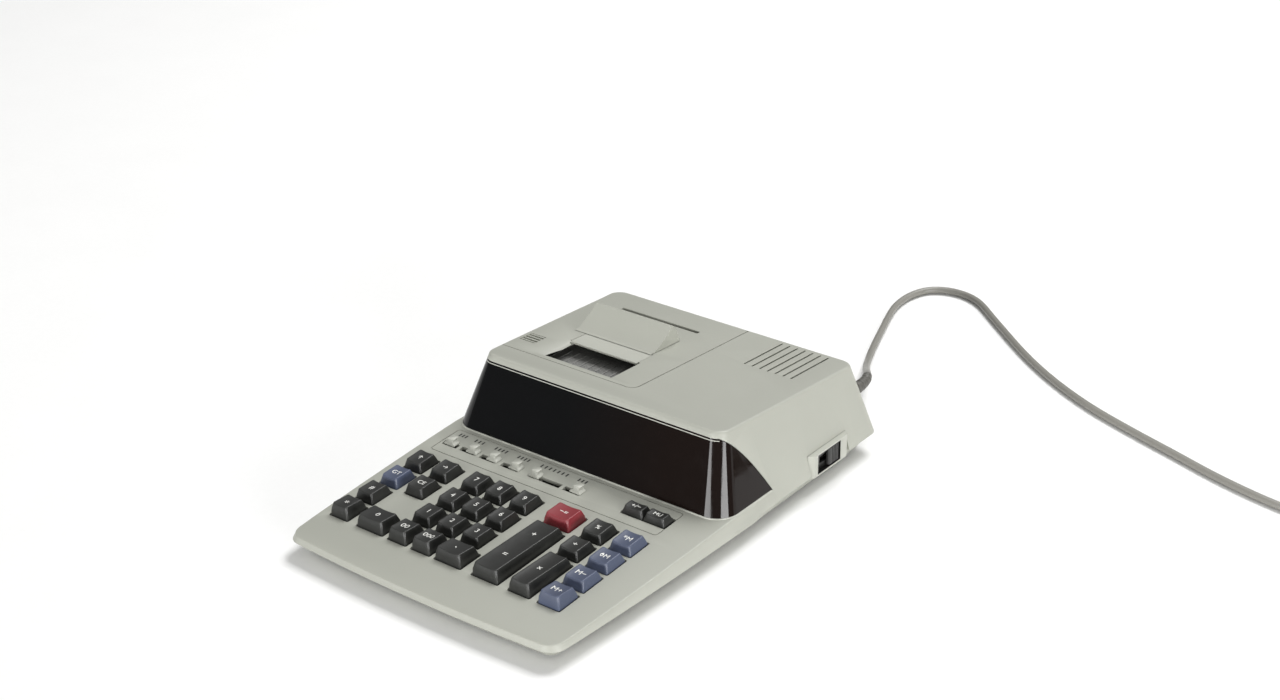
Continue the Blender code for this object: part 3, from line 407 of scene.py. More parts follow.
# Each soft light: its name, azimuth, elevation, width and height in metres, and power in watts
LIGHTS = (("key_softbox", 176.0, 59.0, (1.6, 1.2), 69.0), ("front_softbox", -4.0, 6.0, (2.0, 0.7), 58.0),
          ("side_softbox", 70.0, 8.0, (1.6, 0.7), 60.0))
LIGHT_DISTANCE, LIGHT_TARGET = 3.0, Vector((0.0, 0.0, 0.03))
WORLD_STRENGTH = 0.50
LOW_SKY, HIGH_SKY = (0.35, 0.35, 0.35, 1.0), (1.0, 1.0, 0.99, 1.0)
FLOOR_RADIUS, FLOOR_Z_M = 6.0, -0.0004


def direction(azimuth, elevation):
    """The unit vector at an azimuth, counted from the front to the right, and an elevation."""
    a, e = math.radians(azimuth), math.radians(elevation)
    return Vector((math.sin(a) * math.cos(e), -math.cos(a) * math.cos(e), math.sin(e)))


def make_camera():
    back = direction(CAMERA_AZIMUTH, CAMERA_ELEVATION)
    level = math.radians(CAMERA_AZIMUTH)
    right = Vector((math.cos(level), math.sin(level), 0.0))
    turn = Matrix.Rotation(math.radians(CAMERA_ROLL), 3, back)
    axes = Matrix((turn @ right, turn @ back.cross(right), back)).transposed()
    data = bpy.data.cameras.new("camera")
    data.lens = CAMERA_LENS
    data.sensor_width = 36.0
    data.clip_start = 0.02
    camera = bpy.data.objects.new("camera", data)
    camera.matrix_world = Matrix.Translation(CAMERA_PLACE) @ axes.to_4x4()
    bpy.context.scene.collection.objects.link(camera)
    bpy.context.scene.camera = camera


def area_light(name, azimuth, elevation, size, power):
    data = bpy.data.lights.new(name, "AREA")
    data.shape = "RECTANGLE"
    data.size, data.size_y = size
    data.energy = power
    light = bpy.data.objects.new(name, data)
    towards = direction(azimuth, elevation)
    light.matrix_world = (Matrix.Translation(LIGHT_TARGET + towards * LIGHT_DISTANCE)
                          @ towards.to_track_quat("Z", "Y").to_matrix().to_4x4())
    bpy.context.scene.collection.objects.link(light)


def make_lights():
    world = bpy.data.worlds.new("studio")
    world.use_nodes = True
    tree = world.node_tree
    background = tree.nodes["Background"]
    around = add_node(tree, "ShaderNodeTexCoord").outputs["Generated"]
    upwards = add_node(tree, "ShaderNodeSeparateXYZ", {0: around}).outputs["Z"]
    tone = mixed(tree, ranged(tree, upwards, 0.2, 0.9, 0.0, 1.0), LOW_SKY, HIGH_SKY)
    tree.links.new(tone, background.inputs["Color"])
    background.inputs["Strength"].default_value = WORLD_STRENGTH
    bpy.context.scene.world = world
    for light in LIGHTS:
        area_light(*light)
    bpy.context.scene.view_settings.view_transform = "Standard"


def make_floor():
    bm = bmesh.new()
    bmesh.ops.create_circle(bm, cap_ends=True, segments=96, radius=FLOOR_RADIUS)
    floor = finish_mesh("floor", bm, "floor")
    floor.location.z = FLOOR_Z_M


# Mains lead, in metres

LEAD_RADIUS, LEAD_LENGTH = 0.0025, 1.81
LEAD_SPACING, RELIEF_SPACING = 0.004, 0.00035
LEAD_REST_Z = 0.0026
RELIEF_ROUTE = ((0.0910, 0.1560, 0.0370), (0.0910, 0.1640, 0.0370), (0.0906, 0.1720, 0.0369),
                (0.0888, 0.1800, 0.0362), (0.0860, 0.1860, 0.0350))
# The lead falls to the table, lies on it in a wide bend, and runs to the coil
LEAD_FALL = ((0.0830, 0.1919, 0.0332), (0.0770, 0.2010, 0.0296), (0.0685, 0.2140, 0.0232),
             (0.0585, 0.2300, 0.0154), (0.0480, 0.2475, 0.0080), (0.0380, 0.2670, 0.0035))
LEAD_ON_TABLE = (
    (0.0295, 0.2875), (0.0215, 0.3095), (0.0130, 0.3330), (0.0072, 0.3535), (0.0066, 0.3735),
    (0.0124, 0.3900), (0.0252, 0.3984), (0.0412, 0.3987), (0.0560, 0.3922), (0.0750, 0.3765),
    (0.0965, 0.3585), (0.1185, 0.3405), (0.1415, 0.3235), (0.1685, 0.3065), (0.2000, 0.2905),
    (0.2350, 0.2770), (0.2700, 0.2650), (0.3050, 0.2530), (0.3380, 0.2445), (0.3660, 0.2403),
)
# The turns wind inwards on the table, rise a layer, and wind outwards again
COIL_CENTRE = (0.391, 0.2757)
COIL_RADIUS, COIL_PITCH = 0.0354, 0.0052
COIL_LAYERS = (0.0030, 0.0081)
COIL_LAYER_DEGREES, COIL_RISE_DEGREES = 1080, 90
COIL_DEGREES = 2 * COIL_LAYER_DEGREES + COIL_RISE_DEGREES
COIL_STEP = 15
PLUG_X, PLUG_Y, PLUG_Z = 0.4264, 0.325, 0.0069
TIE_REACH, TIE_HEIGHT = (0.0169, 0.0388), (0.0001, 0.0113)
TIE_HALF_WIDTH, TIE_THICK, TIE_CORNER = 0.0022, 0.0004, 0.0022


def coil_point(degrees):
    """A point of the coil, which winds anticlockwise from its front."""
    inwards = min(degrees, COIL_LAYER_DEGREES)
    outwards = max(degrees - COIL_LAYER_DEGREES - COIL_RISE_DEGREES, 0)
    radius = COIL_RADIUS - COIL_PITCH * (inwards - outwards) / 360
    rise = smooth_step((degrees - COIL_LAYER_DEGREES) / COIL_RISE_DEGREES)
    height = COIL_LAYERS[0] + (COIL_LAYERS[1] - COIL_LAYERS[0]) * rise
    angle = math.radians(degrees - 90)
    return (COIL_CENTRE[0] + radius * math.cos(angle), COIL_CENTRE[1] + radius * math.sin(angle), height)


def lead_end():
    """The last stretch, from the coil's upper layer straight into the plug."""
    start_y, top = COIL_CENTRE[1], COIL_LAYERS[1]
    points = []
    for share in (0.2, 0.4, 0.6, 0.8, 1.0):
        y = start_y + (PLUG_Y + 0.002 - start_y) * share
        points.append((PLUG_X, y, top + (PLUG_Z - top) * smooth_step(share)))
    return points


def smooth_route(route, spacing):
    """Evenly spaced points on the smooth curve that passes through the route's own points."""
    nodes = [Vector(point) for point in route]
    nodes = [2 * nodes[0] - nodes[1], *nodes, 2 * nodes[-1] - nodes[-2]]
    fine = []
    for a, b, c, d in zip(nodes, nodes[1:], nodes[2:], nodes[3:]):
        for i in range(12):
            t = i / 12
            fine.append(0.5 * (2 * b + (c - a) * t + (2 * a - 5 * b + 4 * c - d) * t * t
                               + (3 * b - a - 3 * c + d) * t ** 3))
    fine.append(nodes[-2])
    lengths = [0.0]
    for a, b in zip(fine, fine[1:]):
        lengths.append(lengths[-1] + (b - a).length)
    count = round(lengths[-1] / spacing)
    points, j = [], 0
    for i in range(count + 1):
        along = lengths[-1] * i / count
        while j < len(fine) - 2 and lengths[j + 1] < along:
            j += 1
        share = (along - lengths[j]) / (lengths[j + 1] - lengths[j])
        points.append(fine[j].lerp(fine[j + 1], share))
    return points


def make_lead():
    on_table = [(x, y, LEAD_REST_Z) for x, y in LEAD_ON_TABLE]
    turns = [coil_point(degrees) for degrees in range(0, COIL_DEGREES + 1, COIL_STEP)]
    route = [*RELIEF_ROUTE, *LEAD_FALL, *on_table, *turns, *lead_end()]
    points = smooth_route(route, LEAD_SPACING)
    curve = bpy.data.curves.new("mains_lead_flex", "CURVE")
    curve.dimensions = "3D"
    curve.bevel_depth = LEAD_RADIUS
    curve.bevel_resolution = 5
    curve.use_fill_caps = True
    spline = curve.splines.new("POLY")
    spline.points.add(len(points) - 1)
    for spot, point in zip(spline.points, points):
        spot.co = (*point, 1.0)
    spline.use_smooth = True
    lead = bpy.data.objects.new("mains_lead_flex", curve)
    bpy.context.scene.collection.objects.link(lead)
    curve.materials.append(MATERIALS["lead"])
    return piece(lead, "case", "lead", "mains_lead", "mains_lead_coil")


def swept(name, centres, radii, material, sides=24, sharp=50):
    """A round body along centres in metres, with a radius for each."""
    bm = bmesh.new()
    rings = []
    across = Vector((0.0, 0.0, 1.0))
    for i, centre in enumerate(centres):
        before, after = centres[max(i - 1, 0)], centres[min(i + 1, len(centres) - 1)]
        along = (after - before).normalized()
        side = along.cross(across).normalized()
        upright = side.cross(along)
        ring = []
        for k in range(sides):
            angle = 2 * math.pi * k / sides
            outwards = side * math.cos(angle) + upright * math.sin(angle)
            ring.append(bm.verts.new(centre + outwards * radii[i]))
        rings.append(ring)
    skin(bm, rings)
    return finish_mesh(name, bm, material, sharp)


RELIEF_SPINE = ((0.0910, 0.1496, 0.0370), *RELIEF_ROUTE, (0.0841, 0.1900, 0.0340))
RELIEF_NECK = (0.1537, 0.1599)
RELIEF_HOLE_Y, RELIEF_HOLE_RADIUS = (0.15, 0.166), 0.0045
RELIEF_RIB_START, RELIEF_RIB_PITCH, RELIEF_RIB_DEPTH = 0.0026, 0.0052, 0.0009


def relief_radius(y):
    """A collar inside the case, a neck through its wall, and a ribbed taper outside it."""
    if y < RELIEF_NECK[0]:
        return 0.0060
    if y < RELIEF_NECK[1]:
        return 0.0041
    along = (y - RELIEF_NECK[1]) / (RELIEF_SPINE[-1][1] - RELIEF_NECK[1])
    taper = 0.0044 - 0.0013 * along
    if y < RELIEF_NECK[1] + RELIEF_RIB_START:
        return taper
    phase = ((y - RELIEF_NECK[1] - RELIEF_RIB_START) / RELIEF_RIB_PITCH) % 1.0
    groove = smooth_step(phase / 0.16) * smooth_step((0.48 - phase) / 0.16)
    return taper - RELIEF_RIB_DEPTH * groove * (1 - 0.5 * along)


def make_strain_relief():
    spine = smooth_route(RELIEF_SPINE, RELIEF_SPACING)
    radii = [relief_radius(point.y) for point in spine]
    relief = swept("strain_relief_boot", spine, radii, "relief", 28, 60)
    return piece(relief, "case", "relief", "strain_relief")


# The plug's sections in millimetres: how far back they lie, and half their width and height
PLUG_SECTIONS = ((0.0, 3.1, 3.1), (1.5, 3.4, 3.4), (10.0, 4.4, 4.3), (12.5, 6.0, 5.4), (15.5, 9.8, 6.5),
                 (19.0, 12.2, 6.75), (33.5, 12.95, 6.75), (35.2, 12.6, 6.45), (36.0, 11.8, 5.7))
# Pairs of distance back and radius, in metres
PIN_SLEEVE = ((0.0355, 0.0019), (0.0455, 0.0019), (0.0456, 0.0016))
PIN_TIP = ((0.0450, 0.0020), (0.0535, 0.0020), (0.0545, 0.0017), (0.0549, 0.0010))
PIN_OFFSET = 0.0091
GRIP_REACH, GRIP_START, GRIP_PITCH = 12.2, 21.5, 2.6
GRIP_PROFILE = ((-3.6, 0.0001), (-3.0, 0.0007), (3.0, 0.0007), (3.6, 0.0001))


def pin_part(name, x, profile, material):
    centres = [Vector((x, PLUG_Y + back, PLUG_Z)) for back, _ in profile]
    made = swept(name, centres, [radius for _, radius in profile], material, 20, 40)
    return piece(made, "case", material)


def make_plug():
    """A moulded two-pin plug with finger grips, and its two pins with insulated roots."""
    bm = bmesh.new()
    rings = []
    for back, half_width, half_height in PLUG_SECTIONS:
        radius = min(half_width, half_height) * 0.92
        outline = rounded_rectangle(-half_width, half_width, -half_height, half_height, radius, 9)
        rings.append([bm.verts.new(Vector((PLUG_X + a * MM, PLUG_Y + back * MM, PLUG_Z + b * MM)))
                      for a, b in outline])
    skin(bm, rings)
    body = finish_mesh("mains_plug_body", bm, "lead", 40)
    made = [piece(body, "case", "lead", "mains_plug")]
    for side in (-1, 1):
        for i in range(4):
            x, y = PLUG_X + side * GRIP_REACH * MM, PLUG_Y + (GRIP_START + i * GRIP_PITCH) * MM
            ends = [Vector((x, y, PLUG_Z + rise * MM)) for rise, _ in GRIP_PROFILE]
            radii = [radius for _, radius in GRIP_PROFILE]
            grip = swept(f"plug_grip_{side + 1}_{i}", ends, radii, "lead", 10, 60)
            made.append(piece(grip, "case", "lead"))
        x = PLUG_X + side * PIN_OFFSET
        made.append(pin_part(f"plug_pin_root_{side + 1}", x, PIN_SLEEVE, "black"))
        made.append(pin_part(f"plug_pin_{side + 1}", x, PIN_TIP, "steel"))
    return made


def make_tie():
    """A flat strap round the bundle of turns, on the side of the coil that faces the machine."""
    loops = []
    for side, trim in ((-1, 0.0), (1, 0.0), (1, TIE_THICK), (-1, TIE_THICK)):
        outline = rounded_rectangle(*widened(TIE_REACH, -trim), *widened(TIE_HEIGHT, -trim),
                                    TIE_CORNER - trim)
        y = COIL_CENTRE[1] + side * TIE_HALF_WIDTH
        loops.append([(COIL_CENTRE[0] - out, y, z) for out, z in outline])
    return piece(hoop("lead_tie", loops, "rubber", 40), "case", "rubber")


def make_cord():
    plug = make_plug()
    relief = make_strain_relief()
    lead = make_lead()
    make_tie()


# Case shapes


def deck_z(f):
    return min(DECK_FRONT_Z + DECK_SLOPE * f, DECK_TOP_Z)


def top_z(f):
    return TOP_FRONT_Z + TOP_SLOPE * (f - TOP_FRONT_F)


def case_half(f):
    """Half the width of the case at the seam: its sides bow out gently."""
    return 104.45 + 0.0634 * f - 0.000153 * f * f


def case_front(x):
    """How far back the front edge lies: it bows out in the middle."""
    return 0.000342 * x * x


def tray_half_outline(inset, tuck=0.0):
    """The right half of the case's plan outline, front to rear; its rear part is drawn in by tuck."""
    radius = 11.0 - inset * 0.6
    centre_x = case_half(11.0) - inset - radius
    centre_f = case_front(centre_x) + inset + radius
    points = [(centre_x * i / 10, case_front(centre_x * i / 10) + inset) for i in range(2, 10)]
    points += arc(centre_x, centre_f, radius, -88, -3, 16)
    for f in (26, 40, 60, 80, 100, 120, 140, 160, TUCK_F, 198, STEP_F - 0.1, STEP_F + 0.1, 235, 260, 285,
              305):
        share = min(max((f - TUCK_F) / (STEP_F - TUCK_F), 0.0), 1.0)
        points.append((case_half(f) - inset - tuck * share, f))
    rear_radius = max(8.0 - inset * 0.6, 2.0)
    rear_x = case_half(CASE_DEPTH - 8.0) - inset - tuck - rear_radius
    points += arc(rear_x, CASE_DEPTH - inset - tuck - rear_radius, rear_radius, 0, 90, 12)
    return points


def housing_level(z):
    """The housing's half width, front and rear at one height."""
    return (HOUSING_HALF - HOUSING_LEAN * (z - REAR_SEAM_Z),
            HOUSING_FRONT_F + HOUSING_FRONT_LEAN * (z - DECK_TOP_Z),
            HOUSING_REAR_F - HOUSING_REAR_LEAN * (z - REAR_SEAM_Z))


def housing_half_outline(z_at, inset, round_by):
    """The right half of the housing's outline as (x, f, z), where z_at(f) is the height of the outline."""
    corner_z = z_at(175.0)
    radius = HOUSING_CORNER - HOUSING_CORNER_TAPER * (corner_z - DECK_TOP_Z) - round_by
    half, front, _ = housing_level(corner_z)
    points = arc(half - inset - radius, front + inset + radius, radius, -90, 0, 20)
    for f in (200.0, 225.0, 250.0, 275.0, 300.0):
        points.append((housing_level(z_at(f))[0] - inset, f))
    half, _, rear = housing_level(z_at(316.0))
    radius = HOUSING_REAR_CORNER - round_by
    points += arc(half - inset - radius, rear - inset - radius, radius, 0, 90, 14)
    return [(x, f, z_at(f)) for x, f in points]


def loft_of_halves(name, halves, material=None):
    """A closed body through symmetrical outlines, given as their right halves and ordered upwards."""
    bm = bmesh.new()
    rings = []
    for half in halves:
        left = [(-x, f, z) for x, f, z in reversed(half)]
        rings.append([bm.verts.new(place(*point)) for point in [*half, *left]])
    skin(bm, rings, close_first=False, close_last=False)
    for ring in (rings[0], rings[-1]):
        last = len(ring) - 1
        for i in range(len(ring) // 2 - 1):
            bm.faces.new((ring[i], ring[i + 1], ring[last - i - 1], ring[last - i]))
    return finish_mesh(name, bm, material)


def slab(name, inset, lower_by, bottom_z):
    """The low front part of the case: the wall from the seam up to the keyboard deck."""
    halves = [[(x, f, bottom_z) for x, f in tray_half_outline(inset, SLAB_TUCK)]]
    for degrees in (0, 15, 30, 45, 60, 75, 90):
        angle = math.radians(degrees)
        drop = DECK_ROUND * (1 - math.sin(angle))
        outline = tray_half_outline(inset + 1.4 + 0.9 * (1 - math.cos(angle)), SLAB_TUCK)
        halves.append([(x, f, deck_z(f) - lower_by - drop) for x, f in outline])
    return loft_of_halves(name, halves)


def housing(name, inset, bottom_z):
    """The raised part of the case, from bottom_z to its sloping top, smaller by inset all round."""
    halves = [housing_half_outline(lambda f: bottom_z, inset, inset * 0.6)]
    for degrees in range(0, 91, 15):
        angle = math.radians(degrees)
        drop = TOP_ROUND * (1 - math.sin(angle)) + inset
        more = TOP_ROUND * (1 - math.cos(angle))
        halves.append(housing_half_outline(lambda f, drop=drop: top_z(f) - drop, inset + more,
                                           inset * 0.6 + more))
    return loft_of_halves(name, halves)


def window_outline(grow):
    """The window's outline from the side, with a margin of grow; it runs out in front of the case."""
    (f0, z0), (f1, z1), (f2, z2) = WINDOW_CURVE
    outline = [(WINDOW_FRONT_F, WINDOW_BOTTOM_Z - grow), (f2 + grow, WINDOW_BOTTOM_Z - grow)]
    for i in range(25):
        t = 1 - i / 24
        f = (1 - t) ** 2 * f0 + 2 * t * (1 - t) * f1 + t * t * f2
        z = (1 - t) ** 2 * z0 + 2 * t * (1 - t) * z1 + t * t * z2
        outline.append((f + grow, z + grow * 0.6 * (1 - t) + grow * 0.4))
    outline.append((WINDOW_FRONT_F, WINDOW_TOP_Z + grow))
    return outline


def cover_outline(grow):
    """The printer cover's plan outline, which runs out past the left side and the rear of the case."""
    right, front, radius = COVER_X + grow, COVER_F - grow, COVER_CORNER + grow
    round_corner = arc(right - radius, front + radius, radius, -90, 0, 12)
    return [(-OUTSIDE_X, front), *round_corner, (right, BEHIND_F), (-OUTSIDE_X, BEHIND_F)]


def flared_hole(name, x, f, surface, radius, flare=0.15):
    """A cutter for an opening with a small chamfer at the surface, whose height is surface(f)."""
    def ring(grow, z_at):
        outline = rounded_rectangle(x[0] - grow, x[1] + grow, f[0] - grow, f[1] + grow, radius + grow, 5)
        return [(px, pf, z_at(pf)) for px, pf in outline]

    return stacked(name, [ring(0.0, lambda at: surface(at) - HOLE_DEPTH),
                          ring(0.0, lambda at: surface(at) - flare),
                          ring(flare + 0.4, lambda at: surface(at) + 0.4),
                          ring(flare + 0.4, lambda at: ABOVE_Z)])


def key_holes():
    """A hole for each key, and one that the two strip keys share."""
    places = {}
    for _, _, row in KEY_ROWS:
        for name, *_ in row:
            places[name] = span(f"key_{name}")[:2]
    (left, _), f = places.pop(STRIP_KEYS[0])
    _, right = places.pop(STRIP_KEYS[1])[0]
    places["strip"] = ((left, right), f)
    return [flared_hole(f"{name}_hole", widened(x, KEY_GAP), widened(f, KEY_GAP), deck_z, 1.0)
            for name, (x, f) in places.items()]


def slide_slots():
    """A slot for each slide switch, as long as its stem and its travel need."""
    holes = []
    f = widened((SLIDE_F, SLIDE_F), SLIDE_SLOT_WIDTH / 2)
    for joint in frame["joints"]:
        node = joint["child"]
        if node.startswith("slide_knob"):
            middle = sum(span(node)[0]) / 2
            x = widened([middle + limit / MM for limit in joint["range_m"]], SLIDE_STEM_HALF + 0.5)
            holes.append(flared_hole(f"{node}_slot", x, f, deck_z, 0.4, 0.2))
    return holes


def vent_slots():
    holes = []
    for i in range(VENT_COUNT):
        x = VENT_X + i * VENT_PITCH
        holes.append(flared_hole(f"vent_{i}", widened((x, x), VENT_WIDTH / 2), VENT_F, top_z, 0.3))
    return holes


PANEL_X, PANEL_F, PANEL_CORNER = (-99.5, 82.0), (125.2, 153.6), 2.6
PANEL_LINE, PANEL_DEPTH = 0.6, 0.6


def panel_groove():
    """The engraved line round the slide switches, as a ring-shaped cutter."""
    loops = []
    for inset, rise in ((0.0, -PANEL_DEPTH), (0.0, 1.0), (PANEL_LINE, 1.0), (PANEL_LINE, -PANEL_DEPTH)):
        outline = rounded_rectangle(*widened(PANEL_X, -inset), *widened(PANEL_F, -inset),
                                    PANEL_CORNER - inset, 8)
        loops.append([place(x, f, deck_z(f) + rise) for x, f in outline])
    return hoop("panel_groove", loops)


def bezel_hole():
    return box("bezel_hole", (95.0, 120.0), widened(BEZEL_F, GAP), widened(BEZEL_Z, GAP))


def make_upper_case():
    case = slab("upper_shell", 0.0, 0.0, SEAM_Z)
    shaped(case, union=[housing("housing_body", 0.0, HOUSING_BOTTOM_Z)])
    shaped(case, difference=[slab("slab_hollow", WALL, WALL, 5.0), housing("housing_hollow", WALL, 4.0)])
    step = box("rear_step", (-OUTSIDE_X, OUTSIDE_X), (STEP_F, BEHIND_F), (0.0, REAR_SEAM_Z))
    window = side_prism("window_hole", window_outline(GAP), -OUTSIDE_X, OUTSIDE_X)
    cover = plan_prism("cover_hole", cover_outline(GAP + COVER_TRIM), COVER_BOTTOM_Z - GAP, ABOVE_Z)
    x, _, z = RELIEF_ROUTE[0]
    relief = swept("relief_hole", [Vector((x, y, z)) for y in RELIEF_HOLE_Y], [RELIEF_HOLE_RADIUS] * 2, None)
    shaped(case, difference=[step, window, cover, bezel_hole(), relief])
    shaped(case, difference=[*key_holes(), *slide_slots(), *vent_slots(), panel_groove()])
    piece(painted(case, "case"), "case", "case", "upper_case")


def make_lower_case():
    """The tray: a receding wall that ends in a flat floor."""
    levels = ((FLOOR_Z, 10.0), (FLOOR_Z + 0.25, 9.0), (FLOOR_Z + 0.8, 8.0))
    halves = [[(x, f, z) for x, f in tray_half_outline(inset)] for z, inset in levels]
    halves.append([(x, f, (SEAM_Z if f < STEP_F else REAR_SEAM_Z) - GAP) for x, f in tray_half_outline(2.5)])
    tray = loft_of_halves("lower_shell", halves)
    inside = ((FLOOR_Z + 1.8, 9.8), (SEAM_Z, 4.8), (30.0, 4.6))
    hollow = loft_of_halves("tray_hollow", [[(x, f, z) for x, f in tray_half_outline(inset)]
                                            for z, inset in inside])
    shaped(tray, difference=[hollow, bezel_hole()])
    piece(painted(tray, "case"), "case", "case", "lower_case")


FEET = ("foot_front_left", "foot_front_right", "foot_rear_left", "foot_rear_right")


def make_feet():
    """Rubber feet with a rounded rim and a shallow hollow underneath."""
    for foot in FEET:
        x, f, z = span(foot)
        radius = (x[1] - x[0]) / 2
        profile = ((radius, z[1]), (radius, 1.0), (radius - 0.25, 0.45), (radius - 0.9, z[0]),
                   (radius - 2.2, z[0]), (radius - 2.7, 0.5), (0.02, 0.5))
        centres = [place(sum(x) / 2, sum(f) / 2, height) for _, height in profile]
        bm = bmesh.new()
        rings = []
        for centre, (r, _) in zip(centres, profile):
            rings.append([bm.verts.new(centre + Vector((math.cos(a), math.sin(a), 0.0)) * r * MM)
                          for a in [2 * math.pi * k / 40 for k in range(40)]])
        skin(bm, rings)
        piece(finish_mesh(f"{foot}_pad", bm, "rubber", 50), "case", "rubber", foot)


# Pale strips on the window: near its top a painted reflection of the window's top edge, and along its foot a
# pale lip. For each: x, f and z, and how far it stands out
WINDOW_LINES = (("window_top_painted_reflection", (-98.0, 92.0), (WINDOW_FRONT_F, 176.0), (65.35, 65.85), 0.02),
                ("window_foot_line", (-115.0, 115.0), (WINDOW_FRONT_F, 207.0), (22.0, 22.95), 0.5))


def make_display_window():
    window = housing("window_skin", 0.0, SEAM_Z)
    shaped(window, difference=[housing("window_inside", WINDOW_THICK, 5.0)])
    shaped(window, intersect=[side_prism("window_shape", window_outline(0.0), -OUTSIDE_X, OUTSIDE_X)])
    piece(painted(window, "window"), "case", "window", "display_window")
    # The strip near the top is a painted reflection; the one along the foot is a lip of pale plastic
    for name, x, f, z, proud in WINDOW_LINES:
        line = housing(f"{name}_outside", -proud, SEAM_Z)
        shaped(line, difference=[housing(f"{name}_inside", 0.4, 5.0)])
        shaped(line, intersect=[box(f"{name}_part", x, f, z)])
        piece(painted(line, "knob"), "case", "knob")


# Printer cover


def cover_opening():
    """The printer opening, with a wide slope down its left side."""
    low = corners(OPENING_X, OPENING_F)
    high = corners((OPENING_X[0] - 15.0, OPENING_X[1] + 2.0), (OPENING_F[0] - 1.0, OPENING_F[1]))
    levels = ((58.0, low), (top_z(210) - 2.6, low), (72.0, high))
    return stacked("cover_opening", [[(x, f, z) for x, f in outline] for z, outline in levels])


def on_top_prism(name, x, f, low, high, material=None):
    """A strip that follows the slope of the housing's top, between two heights counted from it."""
    outline = [(f[0], top_z(f[0]) + low), (f[1], top_z(f[1]) + low),
               (f[1], top_z(f[1]) + high), (f[0], top_z(f[0]) + high)]
    return side_prism(name, outline, *x, material)


# The finger grip at the left of the cover: a recess with ribs across it
GRIP_X, GRIP_F, GRIP_DEPTH = (-91.5, -79.0), (206.5, 219.0), 1.1
GRIP_RIBS, GRIP_RIB_START, GRIP_RIB_PITCH, GRIP_RIB_WIDTH = 4, 1.2, 3.2, 1.3


def make_printer_cover():
    cover = housing("cover_skin", 0.0, SEAM_Z)
    shaped(cover, difference=[housing("cover_inside", WALL, 5.0)])
    outline = cover_outline(-COVER_TRIM)
    shaped(cover, intersect=[plan_prism("cover_shape", outline, COVER_BOTTOM_Z, ABOVE_Z)])
    seat = on_top_prism("cutter_seat", widened(CUTTER_X, GAP), widened(CUTTER_F, GAP), -1.6, 4.0)
    slot = flared_hole("paper_slot", SLOT_X, SLOT_F, top_z, 0.6, 0.3)
    grip = on_top_prism("grip_recess", GRIP_X, GRIP_F, -GRIP_DEPTH, 4.0)
    shaped(cover, difference=[cover_opening(), seat, slot, grip])
    piece(painted(cover, "case"), "printer_cover", "case", "printer_cover")
    for i in range(GRIP_RIBS):
        f = GRIP_F[0] + GRIP_RIB_START + GRIP_RIB_PITCH * i
        rib = on_top_prism(f"grip_rib_{i}", GRIP_X, (f, f + GRIP_RIB_WIDTH), -GRIP_DEPTH - 0.3, -0.1, "case")
        piece(bevelled(rib, 0.3), "printer_cover", "case")


def make_paper_cutter():
    """The tear strip: a thin plate whose front edge is cut into fine teeth."""
    pitch = (CUTTER_X[1] - CUTTER_X[0]) / CUTTER_TEETH
    root_f = CUTTER_F[0] + CUTTER_TOOTH
    outline = []
    for i in range(CUTTER_TEETH):
        x = CUTTER_X[0] + i * pitch
        outline += [(x, root_f), (x + pitch / 2, CUTTER_F[0])]
    outline += [(CUTTER_X[1], root_f), (CUTTER_X[1], CUTTER_F[1]), (CUTTER_X[0], CUTTER_F[1])]
    rings = [[(x, f, top_z(f) + rise) for x, f in outline] for rise in (-1.3, -0.1)]
    piece(stacked("tear_strip", rings, "knob"), "printer_cover", "knob", "paper_cutter")


# Where the flap's front starts, where its ridge does, and how high that lies over the housing's top
GUIDE_FRONT = (241.0, 263.8, 12.8)
GUIDE_RIDGE_F, GUIDE_REAR_F = 265.6, 272.5
GUIDE_WALL = 1.8


def guide_profile(shrink):
    """The flap from the side: a concave front, a narrow ridge and a straight back; shrunk, its hollow."""
    start, ridge, height = GUIDE_FRONT
    outline = []
    for i in range(15):
        t = i / 14
        outline.append((start + (ridge - start) * t, height * t ** 1.45))
    outline += [(ridge + 0.5, height + 0.38), (GUIDE_RIDGE_F - 0.4, height + 0.42),
                (GUIDE_RIDGE_F, height + 0.2), (267.4, 11.6), (GUIDE_REAR_F, 0.0)]
    lift = GAP if shrink == 0 else -3.0
    profile = []
    for f, rise in outline:
        z = top_z(f) + max(rise - shrink * 1.25, 0.0) + lift * (rise <= 0.01)
        profile.append((f + shrink * (265.0 - f) / 24.0, z))
    return profile


def make_paper_guide():
    guide = side_prism("paper_flap", guide_profile(0.0), *GUIDE_X)
    hollow = side_prism("flap_hollow", guide_profile(GUIDE_WALL * 1.6), *widened(GUIDE_X, -GUIDE_WALL))
    shaped(guide, difference=[hollow])
    piece(bevelled(painted(guide, "case"), 0.45, 3, 40), "printer_cover", "case", "paper_guide")


# Keys


LEGEND_RISE, LEGEND_DEPTH = 0.045, 0.12


def legend_mesh(name, text, size, where, surface):
    """Printed characters that follow surface(x, f), as thin closed shapes."""
    curve = bpy.data.curves.new(name, "FONT")
    curve.body = text
    curve.size = size
    curve.align_x = "CENTER"
    curve.align_y = "CENTER"
    curve.extrude = 1.0
    curve.resolution_u = 5
    holder = bpy.data.objects.new(name, curve)
    bpy.context.scene.collection.objects.link(holder)
    graph = bpy.context.evaluated_depsgraph_get()
    mesh = bpy.data.meshes.new_from_object(holder.evaluated_get(graph))
    bpy.data.objects.remove(holder, do_unlink=True)
    bm = bmesh.new()
    bm.from_mesh(mesh)
    bmesh.ops.remove_doubles(bm, verts=bm.verts, dist=1e-4)
    bmesh.ops.triangulate(bm, faces=bm.faces)
    for vertex in bm.verts:
        x, f = where[0] + vertex.co.x, where[1] + vertex.co.y
        vertex.co = place(x, f, surface(x, f) + (LEGEND_RISE if vertex.co.z > 0 else -LEGEND_DEPTH))
    return finish_mesh(name, bm, "legend")


